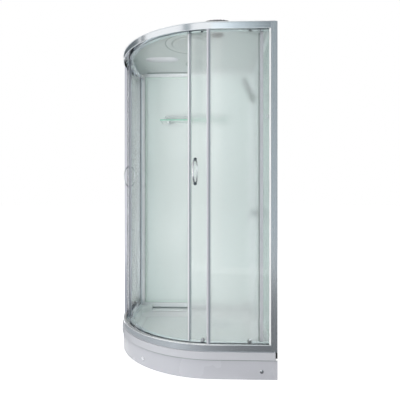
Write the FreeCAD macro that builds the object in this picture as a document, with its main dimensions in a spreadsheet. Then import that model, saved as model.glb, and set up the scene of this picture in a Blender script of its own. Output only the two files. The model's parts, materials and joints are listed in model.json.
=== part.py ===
import FreeCAD, Part
import math
import os
import re

import Sketcher

# A quadrant shower cabin. Millimetres, +Z up. The room's corner is at (+X, +Y), and the curved front with its two
# doors faces (-X, -Y). The left-hand half of the front is the right-hand half mirrored in the plane x = y.

# Driving dimensions
SIZES = {
    # Plan
    "overall_side": 1000,
    "corner_radius": 640,
    # Tray
    "rim_height": 155,
    "lip_drop": 42,
    "lip_thickness": 5,
    "tray_skin": 5,
    "tray_wall_gap": 10,
    "floor_height": 85,
    "rim_width": 84,
    "wall_ledge": 81,
    "ledge_drop": 31,
    "basin_corner": 70,
    "rebate_depth": 15,
    "drain_place": 200,
    "drain_radius": 45,
    # Tray frame and feet
    "bar_width": 30,
    "bar_height": 20,
    "bar_far": 400,
    "bar_near": 150,
    "bar_overhang": 30,
    "front_reach": 330,
    "foot_far": 400,
    "foot_near": 310,
    "pad_radius": 25,
    "pad_height": 10,
    "stud_radius": 6,
    "stud_seat": 4,
    "nut_radius": 12,
    "nut_height": 8,
    "nut_lift": 34,
    # Skirt
    "skirt_inset": 6,
    "skirt_thickness": 4,
    "skirt_lift": 3,
    "skirt_top_gap": 2.5,
    "bracket_thickness": 3,
    "cap_radius": 8,
    "cap_thickness": 3,
    "cap_height": 48,
    "cap_wall_distance": 88,
    "cap_arc_angle": 42,
    "block_thickness": 5,
    "block_depth": 44,
    "block_height": 33,
    # Waste
    "flange_radius": 58,
    "flange_thickness": 3,
    "sleeve_radius": 44,
    "sleeve_wall": 3,
    "sleeve_depth": 12,
    "trap_radius": 54,
    "trap_wall": 4,
    "trap_floor": 14,
    "outlet_radius": 20,
    "outlet_wall": 2.5,
    "outlet_height": 38,
    "outlet_stop": 20,
    "spigot_length": 46,
    "collar_radius": 24,
    "collar_width": 5,
    "cover_radius": 52,
    "cover_thickness": 6,
    "cover_plug_radius": 36,
    "cover_plug_depth": 10,
    # Rails
    "frame_height": 1850,
    "rail_setback": 8,
    "rail_depth": 66,
    "rail_wall": 2.5,
    "rail_plate": 3,
    "bottom_rail_height": 42,
    "top_rail_height": 40,
    "fin_inset": 13,
    "fin_thickness": 2,
    "fin_height": 22,
    "track_width": 26,
    "track_plate": 2.5,
    "track_wall": 2,
    "track_rise": 37,
    "track_drop": 30,
    # Fixed glazing
    "glass_thickness": 5,
    "pane_inset": 5.25,
    "pane_clearance": 0.3,
    "pane_edge_gap": 2,
    "pane_top_gap": 3,
    "gasket_foot": 3,
    "strip_width": 9.5,
    "wall_profile_width": 36,
    "wall_profile_depth": 50,
    "wall_groove": 10,
    "post_wall_distance": 374,
    "post_width": 21,
    "post_depth": 16,
    "post_groove": 16,
    # Walls
    "wall_depth": 34,
    "frame_bar": 32,
    "panel_thickness": 6,
    "panel_back": 14,
    # Roof
    "roof_inset": 12,
    "roof_wall_gap": 2,
    "roof_flange": 4,
    "roof_skin": 4,
    "roof_rise": 33,
    "roof_side_gap": 0.5,
    "roof_foot": 12,
    "roof_slope": 88,
    "rose_place_x": -12,
    "rose_place_y": -110,
    "rose_boss_radius": 163,
    "rose_boss_drop": 4,
    "rose_radius": 114,
    "rose_thickness": 6,
    "dome_wall_distance": 333,
    "dome_front_distance": 270,
    "dome_base_radius": 150,
    "dome_brim_radius": 148,
    "dome_brim_height": 22.5,
    "dome_crown_radius": 100,
    "dome_crown_height": 50,
    "dome_height": 54,
    "dome_skin": 3,
    "vent_radius": 43,
    # Doors
    "door_inset": 38,
    "door_width": 438,
    "door_half_gap": 0.5,
    "door_swing": 23.59,
    "pole_forward": 56.2,
    "pole_back": 176.3,
    "door_glass_low_gap": 10,
    "door_glass_top_gap": -5,
    "profile_low_gap": 1,
    "profile_top_gap": -8,
    "profile_depth": 16,
    "lead_width": 15,
    "trail_width": 20,
    "profile_groove": 12,
    "profile_play": 0.3,
    "magnet_width": 4,
    "magnet_depth": 12,
    # Door handles
    "handle_setback": 45,
    "handle_height": 1170,
    "handle_span": 140,
    "handle_reach": 40,
    "handle_tube": 4.5,
    "handle_boss_radius": 8,
    "handle_boss": 8,
    "boss_seat_play": 0.1,
    "bow_root": 5,
    "bolt_radius": 3.5,
    "bolt_play": 0.4,
    # Rollers
    "roller_front": 88,
    "roller_rear": 361,
    "wheel_radius": 10,
    "wheel_width": 6,
    "wheel_gap": 0.3,
    "wheel_play": 0.1,
    "wheel_offset": 20,
    "axle_radius": 3,
    "carrier_width": 14,
    "carrier_thickness": 2.5,
    "carrier_lap": 10,
    "carrier_tip": 9,
    "carrier_cap_radius": 8,
    "carrier_cap": 1,
    # Shelf
    "shelf_wall_distance": 250,
    "shelf_length": 520,
    "shelf_depth": 118,
    "shelf_drop": 375,
    "shelf_glass": 8,
    "shelf_back_gap": 2,
    "arm_inset": 60,
    "arm_width": 12,
    "arm_height": 16,
    "arm_reach": 100,
    "rail_rise": 25,
    "rail_tube": 3,
    "rail_post_radius": 4,
    "rail_edge": 8,
    "rail_inset": 38,
    # Shower set on the side wall
    "fitting_place": 60,
    "holder_drop": 275,
    "holder_plate_radius": 24,
    "holder_plate": 6,
    "holder_neck_radius": 8,
    "pivot_reach": 38,
    "pivot_radius": 3,
    "pin_play": 0.1,
    "knuckle_radius": 7,
    "knuckle_width": 12,
    "tongue_height": 12,
    "cheek_thickness": 4,
    "cheek_play": 0.3,
    "ring_reach": 30,
    "ring_radius": 15.5,
    "ring_height": 26,
    "ring_play": 0.3,
    "grip_radius": 11.5,
    "grip_collar_radius": 14,
    "grip_below": 34,
    "grip_above": 62,
    "grip_collar_gap": 1,
    "handset_tilt": 20,
    "spray_radius": 42,
    "spray_thickness": 22,
    "spray_lean": 6,
    "spray_rise": 25,
    # Mixer
    "mixer_height": 885,
    "mixer_plate_radius": 75,
    "mixer_plate": 8,
    "mixer_lift": 30,
    "mixer_radius": 25,
    "mixer_body_length": 32,
    "stem_radius": 23,
    "stem_length": 30,
    "stem_gap": 0.3,
    "slot_depth": 18,
    "slot_play": 0.3,
    "lever_knuckle": 7,
    "lever_width": 14,
    "lever_pivot_depth": 9,
    "lever_neck": 24,
    "lever_neck_height": 10,
    "lever_paddle": 12,
    "lever_paddle_width": 18,
    "lever_length": 95,
    "diverter_drop": 38,
    "diverter_radius": 15,
    "diverter_length": 25,
    "spindle_radius": 4,
    "spindle_play": 0.1,
    "nipple_radius": 10.5,
    "nipple_spacing": 60,
    "nipple_thread": 12,
    "shoulder_radius": 12,
    "shoulder_play": 1,
    # Robe hook
    "hook_front_distance": 220,
    "hook_drop": 485,
    "hook_base_radius": 14,
    "hook_base": 5,
    "hook_stem_radius": 5,
    "hook_stem": 24,
    "hook_knob_radius": 11,
    "hook_knob_flare": 8,
    "hook_knob_rim": 6,
    "hook_knob_bevel": 3,
}

document = FreeCAD.newDocument("ShowerCabin")
sheet = document.addObject("Spreadsheet::Sheet", "Sizes")
for row, (alias, amount) in enumerate(SIZES.items(), start=1):
    sheet.set("A%d" % row, alias)
    sheet.set("B%d" % row, str(amount))
    sheet.setAlias("B%d" % row, alias)
document.recompute()

# Levels and planes, as formulas of the driving dimensions
WALL = "overall_side/2"
ARC = "(corner_radius - overall_side/2)"
LIP_LOW = "(rim_height - lip_drop)"
FLOOR_LOW = "(floor_height - tray_skin)"
REBATE = "(rim_height - rebate_depth)"
FRAME_LOW = "(floor_height - tray_skin - bar_height)"
RAIL_TOP = "(rim_height + frame_height)"
BOTTOM_RAIL_TOP = "(rim_height + bottom_rail_height)"
TOP_RAIL_LOW = "(rim_height + frame_height - top_rail_height)"
LOW_TRACK = "(rim_height + track_rise)"
TOP_TRACK = "(rim_height + frame_height - track_drop + track_plate)"
PROFILE_FACE = "(overall_side/2 - wall_profile_width)"
WALL_FACE = "(overall_side/2 - wall_depth)"
PANEL_FACE = "(overall_side/2 - panel_back - panel_thickness)"
PROFILE_BACK = "(-overall_side/2 + rail_setback + wall_profile_depth)"
CEILING = "(rim_height + frame_height + roof_rise)"
SHELF_LEVEL = "(rim_height + frame_height - shelf_drop)"
HOLDER_LEVEL = "(rim_height + frame_height - holder_drop)"
HOOK_LEVEL = "(rim_height + frame_height - hook_drop)"
DOOR_RADIUS = "(corner_radius - door_inset)"
GLASS_OUT = "(corner_radius - door_inset + glass_thickness/2)"
GLASS_IN = "(corner_radius - door_inset - glass_thickness/2)"
DOOR_LOW = "(rim_height + bottom_rail_height + door_glass_low_gap)"
DOOR_TOP = "(rim_height + frame_height - top_rail_height - door_glass_top_gap)"
PROFILE_LOW = "(rim_height + bottom_rail_height + profile_low_gap)"
PROFILE_TOP = "(rim_height + frame_height - top_rail_height - profile_top_gap)"
PANE_OUT = "(rail_setback + pane_inset)"
PANE_IN = "(rail_setback + pane_inset + glass_thickness)"

# Directions from the arc's centre: to the right face, and to the middle of the arc where the doors meet
RIGHT_FACE_DIRECTION = 270
LEAD_DIRECTION = 225
WORD = re.compile(r"[a-z_]+")
X_AXIS = FreeCAD.Vector(1, 0, 0)
Y_AXIS = FreeCAD.Vector(0, 1, 0)
Z_AXIS = FreeCAD.Vector(0, 0, 1)
TO_AXIS = {
    "X": FreeCAD.Rotation(Y_AXIS, 90),
    "Y": FreeCAD.Rotation(X_AXIS, -90),
    "Z": FreeCAD.Rotation(),
}
NODES = []


def formula(text):
    """The text with each driving dimension written as a cell of the sheet."""
    return WORD.sub(lambda found: "Sizes." + found.group(0) if found.group(0) in SIZES else found.group(0), text)


def amount_of(text):
    """The number that a formula gives now."""
    return float(sheet.evalExpression(formula(text)))


def bind(item, prop, text):
    item.setExpression(prop, formula(text))


def front(inset):
    """The coordinate of the front's flat face, a distance behind the tray's lip."""
    return "(-overall_side/2 + %s)" % inset


def named(item, label):
    """Mark a finished object as one of the part's nodes."""
    item.Label = label
    NODES.append(item)
    return item


# Solids


def block(name, across, along, upright):
    """A box between a low and a high formula on each axis."""
    item = document.addObject("Part::Box", name)
    for prop, place, (low, high) in zip(("Length", "Width", "Height"), "xyz", (across, along, upright)):
        bind(item, prop, "(%s) - (%s)" % (high, low))
        bind(item, "Placement.Base." + place, low)
    return item


def rod(name, axis, centre, radius, length):
    """A cylinder that starts at the centre and runs along an axis."""
    item = document.addObject("Part::Cylinder", name)
    item.Placement = FreeCAD.Placement(FreeCAD.Vector(), TO_AXIS[axis])
    bind(item, "Radius", radius)
    bind(item, "Height", length)
    for place, text in zip("xyz", centre):
        bind(item, "Placement.Base." + place, text)
    return item


def join(name, pieces):
    item = document.addObject("Part::MultiFuse", name)
    item.Shapes = pieces
    item.Refine = True
    return item


def less(name, base, tool):
    item = document.addObject("Part::Cut", name)
    item.Base = base
    item.Tool = tool
    return item


def group(name, pieces):
    item = document.addObject("Part::Compound", name)
    item.Links = pieces
    return item


def mirrored(name, source):
    """The source reflected in the plane x = y."""
    item = document.addObject("Part::Mirroring", name)
    item.Source = source
    item.Base = FreeCAD.Vector(0, 0, 0)
    item.Normal = FreeCAD.Vector(1, -1, 0)
    return item


def both_sides(right, right_label, left_label):
    named(right, right_label)
    return named(mirrored("Left" + right.Name, right), left_label)


# Sketched bodies


def sketch_loop(sketch, corners, arcs):
    """A closed loop through the corners. arcs gives centre, radius formula and turn for a side that is an arc."""
    places = [FreeCAD.Vector(amount_of(across), amount_of(along), 0) for across, along in corners]
    first = len(sketch.Geometry)
    ends = []
    for side, start in enumerate(places):
        stop = places[(side + 1) % len(places)]
        if side not in arcs:
            sketch.addGeometry(Part.LineSegment(start, stop))
            ends.append((1, 2))
            continue
        centre_across, centre_along, radius, turn = arcs[side]
        centre = FreeCAD.Vector(amount_of(centre_across), amount_of(centre_along), 0)
        circle = Part.Circle(centre, Z_AXIS, amount_of(radius))
        begin, finish = (start, stop) if turn > 0 else (stop, start)
        angles = [math.atan2(point.y - centre.y, point.x - centre.x) for point in (begin, finish)]
        sketch.addGeometry(Part.ArcOfCircle(circle, angles[0], angles[1]))
        ends.append((1, 2) if turn > 0 else (2, 1))
        bound = sketch.addConstraint(Sketcher.Constraint("Radius", first + side, amount_of(radius)))
        bind(sketch, "Constraints[%d]" % bound, radius)
    for side, corner in enumerate(corners):
        after = (side + 1) % len(corners)
        sketch.addConstraint(
            Sketcher.Constraint("Coincident", first + side, ends[side][1], first + after, ends[after][0])
        )
        for kind, text in zip(("DistanceX", "DistanceY"), corner):
            bound = sketch.addConstraint(
                Sketcher.Constraint(kind, -1, 1, first + side, ends[side][0], amount_of(text))
            )
            bind(sketch, "Constraints[%d]" % bound, text)


def sketch_circle(sketch, across, along, radius):
    centre = FreeCAD.Vector(amount_of(across), amount_of(along), 0)
    ring = sketch.addGeometry(Part.Circle(centre, Z_AXIS, amount_of(radius)))
    bound = sketch.addConstraint(Sketcher.Constraint("Radius", ring, amount_of(radius)))
    bind(sketch, "Constraints[%d]" % bound, radius)
    for kind, text in (("DistanceX", across), ("DistanceY", along)):
        bound = sketch.addConstraint(Sketcher.Constraint(kind, -1, 1, ring, 3, amount_of(text)))
        bind(sketch, "Constraints[%d]" % bound, text)


def new_sketch(body, role, level):
    """A sketch on one of the body's own origin planes, lifted along that plane's normal."""
    sketch = body.newObject("Sketcher::SketchObject", body.Name + "Sketch")
    plane = [feature for feature in body.Origin.OriginFeatures if feature.Role == role][0]
    sketch.AttachmentSupport = [(plane, "")]
    sketch.MapMode = "FlatFace"
    bind(sketch, "AttachmentOffset.Base.z", level)
    return sketch


def pad(body, sketch, length):
    feature = body.newObject("PartDesign::Pad", body.Name + "Pad")
    feature.Profile = sketch
    bind(feature, "Length", length)
    return feature


def pocket(body, sketch, length, upwards):
    """Cut a sketch out of the body, below the sketch or above it."""
    document.recompute()
    before = body.Shape.Volume
    feature = body.newObject("PartDesign::Pocket", body.Name + "Pocket")
    feature.Profile = sketch
    feature.Reversed = upwards
    bind(feature, "Length", length)
    document.recompute()
    if body.Shape.Volume >= before:
        raise ValueError(feature.Name + " cuts nothing")
    return feature


def band_loop(outer, inner, end):
    """The strip between two insets that runs along the right face, round the arc and along the left face."""
    corners = [
        (end, front(outer)),
        (ARC, front(outer)),
        (front(outer), ARC),
        (front(outer), end),
        (front(inner), end),
        (front(inner), ARC),
        (ARC, front(inner)),
        (end, front(inner)),
    ]
    arcs = {
        1: (ARC, ARC, "corner_radius - (%s)" % outer, -1),
        5: (ARC, ARC, "corner_radius - (%s)" % inner, 1),
    }
    return corners, arcs


def quadrant_loop(inset, wall, corner):
    """The cabin's whole outline at an inset, with its three other corners rounded."""
    near = "(%s + %s)" % (front(inset), corner)
    far = "(%s - %s)" % (wall, corner)
    corners = [
        (far, front(inset)),
        (ARC, front(inset)),
        (front(inset), ARC),
        (front(inset), far),
        (near, wall),
        (far, wall),
        (wall, far),
        (wall, near),
    ]
    arcs = {
        1: (ARC, ARC, "corner_radius - (%s)" % inset, -1),
        3: (near, far, corner, -1),
        5: (far, far, corner, -1),
        7: (far, near, corner, -1),
    }
    return corners, arcs


def pad_loop(body, role, level, length, loop):
    sketch = new_sketch(body, role, level)
    sketch_loop(sketch, *loop)
    return pad(body, sketch, length)


def pad_band(body, low, high, outer, inner, end):
    return pad_loop(body, "XY_Plane", low, "(%s) - (%s)" % (high, low), band_loop(outer, inner, end))


def revolve(body, corners, arcs):
    """Turn a half section, drawn in the XZ plane, about the body's Z axis."""
    sketch = new_sketch(body, "XZ_Plane", "0")
    sketch_loop(sketch, corners, arcs)
    feature = body.newObject("PartDesign::Revolution", body.Name + "Revolution")
    feature.Profile = sketch
    feature.ReferenceAxis = (sketch, ["V_Axis"])
    feature.Angle = 360
    return feature


def place_body(body, across, along, level):
    for place, text in zip("xyz", (across, along, level)):
        bind(body, "Placement.Base." + place, text)


# Tray and base


def make_tray():
    wall = "(overall_side/2 - tray_wall_gap)"
    basin_wall = "(overall_side/2 - wall_ledge)"
    body = document.addObject("PartDesign::Body", "Tray")
    small_corner = "lip_thickness"
    pad_loop(body, "XY_Plane", LIP_LOW, "lip_drop", quadrant_loop("0", wall, small_corner))
    pad_loop(
        body,
        "XY_Plane",
        FLOOR_LOW,
        "(%s) - (%s)" % (LIP_LOW, FLOOR_LOW),
        quadrant_loop("(rim_width - tray_skin)", "(%s + tray_skin)" % basin_wall, "(basin_corner + tray_skin)"),
    )
    basin = new_sketch(body, "XY_Plane", "rim_height")
    sketch_loop(basin, *quadrant_loop("rim_width", basin_wall, "basin_corner"))
    pocket(body, basin, "rim_height - floor_height", False)
    hollow = new_sketch(body, "XY_Plane", LIP_LOW)
    sketch_loop(hollow, *band_loop("lip_thickness", "(rim_width - tray_skin)", "(%s - basin_corner)" % basin_wall))
    pocket(body, hollow, "lip_drop - tray_skin", True)
    rebate = new_sketch(body, "XY_Plane", "rim_height")
    corner = "(%s + tray_wall_gap)" % wall
    corners = [
        (WALL_FACE, PROFILE_BACK),
        (corner, PROFILE_BACK),
        (corner, corner),
        (PROFILE_BACK, corner),
        (PROFILE_BACK, WALL_FACE),
        (WALL_FACE, WALL_FACE),
    ]
    sketch_loop(rebate, corners, {})
    pocket(body, rebate, "rebate_depth", False)
    ledge = new_sketch(body, "XY_Plane", "rim_height")
    near = "(%s + basin_corner)" % front("rim_width")
    inside = "(%s - basin_corner)" % basin_wall
    corners = [
        (inside, near),
        (WALL_FACE, near),
        (WALL_FACE, WALL_FACE),
        (near, WALL_FACE),
        (near, inside),
        (inside, inside),
    ]
    sketch_loop(ledge, corners, {})
    pocket(body, ledge, "ledge_drop", False)
    drain = new_sketch(body, "XY_Plane", "floor_height")
    sketch_circle(drain, "drain_place", "drain_place", "drain_radius")
    pocket(body, drain, "tray_skin", False)
    named(body, "tray")


def make_tray_frame():
    upright = (FRAME_LOW, FLOOR_LOW)
    half = "bar_width/2"
    long_span = ("-(bar_far + bar_overhang)", "bar_far + bar_overhang")
    short_span = ("-front_reach", "bar_far + bar_overhang")
    far = ("bar_far - " + half, "bar_far + " + half)
    near = ("-bar_near - " + half, "-bar_near + " + half)
    bars = [
        block("BackBar", long_span, far, upright),
        block("FrontBar", short_span, near, upright),
        block("RightBar", far, long_span, upright),
        block("LeftBar", near, short_span, upright),
    ]
    named(join("TrayFrame", bars), "tray_frame")


def make_feet():
    places = (
        ("foot_far", "foot_far"),
        ("-foot_far", "bar_far"),
        ("bar_far", "-foot_far"),
        ("-foot_near", "-bar_near"),
        ("-bar_near", "-foot_near"),
    )
    pads = []
    studs = []
    seat = "(pad_height - stud_seat)"
    for index, (across, along) in enumerate(places):
        disc = rod("PadDisc%d" % index, "Z", (across, along, "0"), "pad_radius", "pad_height")
        socket = rod("PadSocket%d" % index, "Z", (across, along, seat), "stud_radius", "stud_seat")
        pads.append(less("Pad%d" % index, disc, socket))
        shank = rod("Shank%d" % index, "Z", (across, along, seat), "stud_radius", "%s - %s" % (FRAME_LOW, seat))
        nut = rod("Nut%d" % index, "Z", (across, along, "nut_lift"), "nut_radius", "nut_height")
        studs.append(join("Stud%d" % index, [shank, nut]))
    named(group("FootPads", pads), "foot_pads")
    named(group("FootStuds", studs), "foot_studs")


def make_skirt():
    back = "(skirt_inset + skirt_thickness)"
    body = document.addObject("PartDesign::Body", "Skirt")
    pad_band(body, "skirt_lift", LIP_LOW + " - skirt_top_gap", "skirt_inset", back, WALL)
    named(body, "skirt")

    upright = (FRAME_LOW, FRAME_LOW + " + bracket_thickness")
    beside_bar = ("bar_far + bar_width/2", "bar_far + bar_width/2 + bracket_thickness")
    right_arm = block(
        "SkirtArm", beside_bar, (front(back), "-bar_far"), (FRAME_LOW, FLOOR_LOW)
    )
    arc_plate = block(
        "ArcPlate",
        ("-overall_side/2", "-front_reach"),
        ("-bar_near - bar_width/2", "-bar_near + bar_width/2"),
        upright,
    )
    reach = rod("ArcReach", "Z", (ARC, ARC, FRAME_LOW), "corner_radius - " + back, "bracket_thickness")
    left_arc = document.addObject("Part::Common", "LeftArcBracket")
    left_arc.Base = arc_plate
    left_arc.Tool = reach
    brackets = [right_arm, mirrored("LeftSkirtArm", right_arm), left_arc, mirrored("RightArcBracket", left_arc)]
    named(group("SkirtBrackets", brackets), "skirt_brackets")

    flat_cap = rod(
        "FlatCap",
        "Y",
        ("overall_side/2 - cap_wall_distance", front("skirt_inset") + " - cap_thickness", "cap_height"),
        "cap_radius",
        "cap_thickness",
    )
    arc_cap = document.addObject("Part::Cylinder", "ArcCap")
    bind(arc_cap, "Radius", "cap_radius")
    bind(arc_cap, "Height", "cap_thickness")
    direction = RIGHT_FACE_DIRECTION - amount_of("cap_arc_angle")
    skirt_radius = amount_of("corner_radius - skirt_inset")
    arc_cap.Placement = on_arc(direction, skirt_radius, 0, amount_of("cap_height"), "X")
    named(group("SkirtCaps", [flat_cap, mirrored("LeftFlatCap", flat_cap), arc_cap]), "skirt_caps")


def on_arc(direction, radial, sideways, level, axis):
    """A placement at a direction and distance from the arc's centre; the local X axis points outwards."""
    turn = FreeCAD.Rotation(Z_AXIS, direction)
    centre = amount_of(ARC)
    base = FreeCAD.Vector(centre, centre, level) + turn.multVec(FreeCAD.Vector(radial, sideways, 0))
    return FreeCAD.Placement(base, turn.multiply(TO_AXIS[axis]))


def make_corner_blocks():
    right = block(
        "CornerBlock",
        ("overall_side/2 - tray_wall_gap", WALL),
        (front("block_thickness"), front("block_depth")),
        ("rim_height - block_height", "rim_height"),
    )
    named(group("CornerBlocks", [right, mirrored("LeftCornerBlock", right)]), "corner_blocks")


def make_waste():
    across = "drain_place"
    flange_top = "(floor_height + flange_thickness)"
    disc = rod("FlangeDisc", "Z", (across, across, "floor_height"), "flange_radius", "flange_thickness")
    sleeve_low = "(floor_height - sleeve_depth)"
    sleeve = rod("FlangeSleeve", "Z", (across, across, sleeve_low), "sleeve_radius", "sleeve_depth")
    bore = rod(
        "FlangeBore",
        "Z",
        (across, across, sleeve_low),
        "sleeve_radius - sleeve_wall",
        "sleeve_depth + flange_thickness",
    )
    named(less("WasteFlange", join("FlangeSolid", [disc, sleeve]), bore), "waste_flange")

    cup = rod("TrapCup", "Z", (across, across, "trap_floor"), "trap_radius", "%s - trap_floor" % FLOOR_LOW)
    pipe_length = "overall_side/2 - outlet_stop - drain_place"
    pipe = rod("TrapPipe", "Y", (across, across, "outlet_height"), "outlet_radius", pipe_length)
    collar_place = "(overall_side/2 - outlet_stop - spigot_length - collar_width)"
    collar = rod("TrapCollar", "Y", (across, collar_place, "outlet_height"), "collar_radius", "collar_width")
    cup_bore = rod(
        "TrapCupBore",
        "Z",
        (across, across, "trap_floor + trap_wall"),
        "trap_radius - trap_wall",
        "%s - trap_floor - trap_wall" % FLOOR_LOW,
    )
    pipe_bore = rod(
        "TrapPipeBore", "Y", (across, across, "outlet_height"), "outlet_radius - outlet_wall", pipe_length
    )
    hollow = join("TrapHollow", [cup_bore, pipe_bore])
    named(less("WasteTrap", join("TrapSolid", [cup, pipe, collar]), hollow), "waste_trap")

    lid = rod("CoverLid", "Z", (across, across, flange_top), "cover_radius", "cover_thickness")
    plug_low = flange_top + " - cover_plug_depth"
    plug = rod("CoverPlug", "Z", (across, across, plug_low), "cover_plug_radius", "cover_plug_depth")
    named(join("WasteCover", [lid, plug]), "waste_cover")


# Rails, profiles and fixed glazing


def make_rails():
    outer = "rail_setback"
    back = "(rail_setback + rail_depth)"
    fin = ("(rail_setback + fin_inset)", "(rail_setback + fin_inset + fin_thickness)")
    track = "(rail_setback + rail_depth - track_width)"
    inner = "(rail_setback + rail_depth - track_wall)"
    base = "(rim_height + rail_plate)"
    lid = "(rim_height + frame_height - rail_plate)"
    bottom = document.addObject("PartDesign::Body", "BottomRail")
    pad_band(bottom, "rim_height", base, outer, back, PROFILE_FACE)
    pad_band(bottom, base, BOTTOM_RAIL_TOP, outer, "(rail_setback + rail_wall)", PROFILE_FACE)
    pad_band(bottom, base, base + " + fin_height", fin[0], fin[1], PROFILE_FACE)
    pad_band(bottom, base, LOW_TRACK, inner, back, PROFILE_FACE)
    pad_band(bottom, LOW_TRACK + " - track_plate", LOW_TRACK, track, inner, PROFILE_FACE)
    named(bottom, "bottom_rail")

    top = document.addObject("PartDesign::Body", "TopRail")
    pad_band(top, lid, RAIL_TOP, outer, back, PROFILE_FACE)
    pad_band(top, TOP_RAIL_LOW, lid, outer, "(rail_setback + rail_wall)", PROFILE_FACE)
    pad_band(top, lid + " - fin_height", lid, fin[0], fin[1], PROFILE_FACE)
    pad_band(top, TOP_TRACK + " - track_plate", lid, inner, back, PROFILE_FACE)
    pad_band(top, TOP_TRACK + " - track_plate", TOP_TRACK, track, inner, PROFILE_FACE)
    named(top, "top_rail")


def grooved_upright(name, low_x, high_x, depth, groove, open_low, upright):
    """An upright profile with a groove for the pane's edge, open towards low or high X."""
    slot = (
        front("(%s - pane_clearance)" % PANE_OUT),
        front("(%s + pane_clearance)" % PANE_IN),
    )
    near = front("rail_setback")
    far = front("(rail_setback + %s)" % depth)
    if open_low:
        mouth, bottom = low_x, "(%s + %s)" % (low_x, groove)
        other = high_x
    else:
        mouth, bottom = high_x, "(%s - %s)" % (high_x, groove)
        other = low_x
    corners = [
        (other, near),
        (mouth, near),
        (mouth, slot[0]),
        (bottom, slot[0]),
        (bottom, slot[1]),
        (mouth, slot[1]),
        (mouth, far),
        (other, far),
    ]
    body = document.addObject("PartDesign::Body", name)
    pad_loop(body, "XY_Plane", upright[0], "(%s) - (%s)" % (upright[1], upright[0]), (corners, {}))
    return body


def make_fixed_glazing():
    profile = grooved_upright(
        "WallProfile", PROFILE_FACE, WALL, "wall_profile_depth", "wall_groove", True, ("rim_height", RAIL_TOP)
    )
    both_sides(profile, "wall_profile_right", "wall_profile_left")
    post_high = "(overall_side/2 - post_wall_distance)"
    post = grooved_upright(
        "Post",
        "(%s - post_width)" % post_high,
        post_high,
        "post_depth",
        "post_groove",
        False,
        (BOTTOM_RAIL_TOP, TOP_RAIL_LOW),
    )
    both_sides(post, "post_right", "post_left")

    pane_low = "(rim_height + rail_plate + gasket_foot)"
    pane_top = "(rim_height + frame_height - rail_plate - pane_top_gap)"
    pane_span = ("%s - post_groove + pane_edge_gap" % post_high, PROFILE_FACE + " + wall_groove - pane_edge_gap")
    pane_depth = (front(PANE_OUT), front(PANE_IN))
    pane = block("FixedPane", pane_span, pane_depth, (pane_low, pane_top))
    both_sides(pane, "fixed_pane_right", "fixed_pane_left")

    gasket_depth = (front("(rail_setback + rail_wall)"), front("(rail_setback + fin_inset)"))
    base = "(rim_height + rail_plate)"
    lid = "(rim_height + frame_height - rail_plate)"
    low_gasket = block("LowGasket", (ARC, PROFILE_FACE), gasket_depth, (base, base + " + fin_height"))
    top_gasket = block("TopGasket", (ARC, PROFILE_FACE), gasket_depth, (lid + " - fin_height", lid))
    strip_depth = (front("(rail_setback + pane_clearance)"), front(PANE_OUT))
    strip_low = "(%s)" % BOTTOM_RAIL_TOP
    strip = block(
        "SealStrip", (PROFILE_FACE + " - strip_width", PROFILE_FACE), strip_depth, (strip_low, TOP_RAIL_LOW)
    )
    pieces = [
        less("LowGasketSlot", low_gasket, pane),
        less("TopGasketSlot", top_gasket, pane),
        strip,
    ]
    pieces += [mirrored("Left" + piece.Name, piece) for piece in list(pieces)]
    named(group("PaneSeals", pieces), "pane_seals")


# Walls and roof


def make_walls():
    notch = "(%s + frame_bar/2)" % PROFILE_BACK
    outline = [
        (PROFILE_BACK, REBATE),
        (WALL_FACE, REBATE),
        (WALL_FACE, CEILING),
        (notch, CEILING),
        (notch, RAIL_TOP),
        (PROFILE_BACK, RAIL_TOP),
    ]
    open_low = ("(%s + frame_bar)" % PROFILE_BACK, "(%s + frame_bar)" % REBATE)
    open_high = ("(%s - frame_bar)" % WALL_FACE, "(%s - frame_bar)" % CEILING)

    def rectangle(low, high):
        return [(low[0], low[1]), (high[0], low[1]), (high[0], high[1]), (low[0], high[1])], {}

    side_frame = document.addObject("PartDesign::Body", "SideFrame")
    sketch = new_sketch(side_frame, "YZ_Plane", WALL_FACE)
    sketch_loop(sketch, outline, {})
    sketch_loop(sketch, *rectangle(open_low, open_high))
    pad(side_frame, sketch, "wall_depth")
    both_sides(side_frame, "side_wall_frame", "back_wall_frame")

    plain = document.addObject("PartDesign::Body", "PlainPanel")
    pad_loop(plain, "YZ_Plane", PANEL_FACE, "panel_thickness", rectangle(open_low, open_high))
    named(mirrored("BackPanel", plain), "back_wall_panel")

    side_panel = document.addObject("PartDesign::Body", "SidePanel")
    pad_loop(side_panel, "YZ_Plane", PANEL_FACE, "panel_thickness", rectangle(open_low, open_high))
    holes = new_sketch(side_panel, "YZ_Plane", PANEL_FACE)
    for sign in "-+":
        place = "(fitting_place %s nipple_spacing/2)" % sign
        sketch_circle(holes, place, "mixer_height", "shoulder_radius + shoulder_play")
    pocket(side_panel, holes, "panel_thickness", True)
    named(side_panel, "side_wall_panel")

    named(block("CornerPost", (WALL_FACE, WALL), (WALL_FACE, WALL), (REBATE, CEILING)), "corner_post")


def loft(body, kind, low, high):
    """A ruled loft between two loops, each given with its level."""
    sketches = []
    for level, loop in (low, high):
        sketch = new_sketch(body, "XY_Plane", level)
        sketch_loop(sketch, *loop)
        sketches.append(sketch)
    document.recompute()
    feature = body.newObject("PartDesign::" + kind, body.Name + "Loft")
    feature.Profile = sketches[0]
    feature.Sections = [sketches[1]]
    feature.Ruled = True
    return feature


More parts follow.
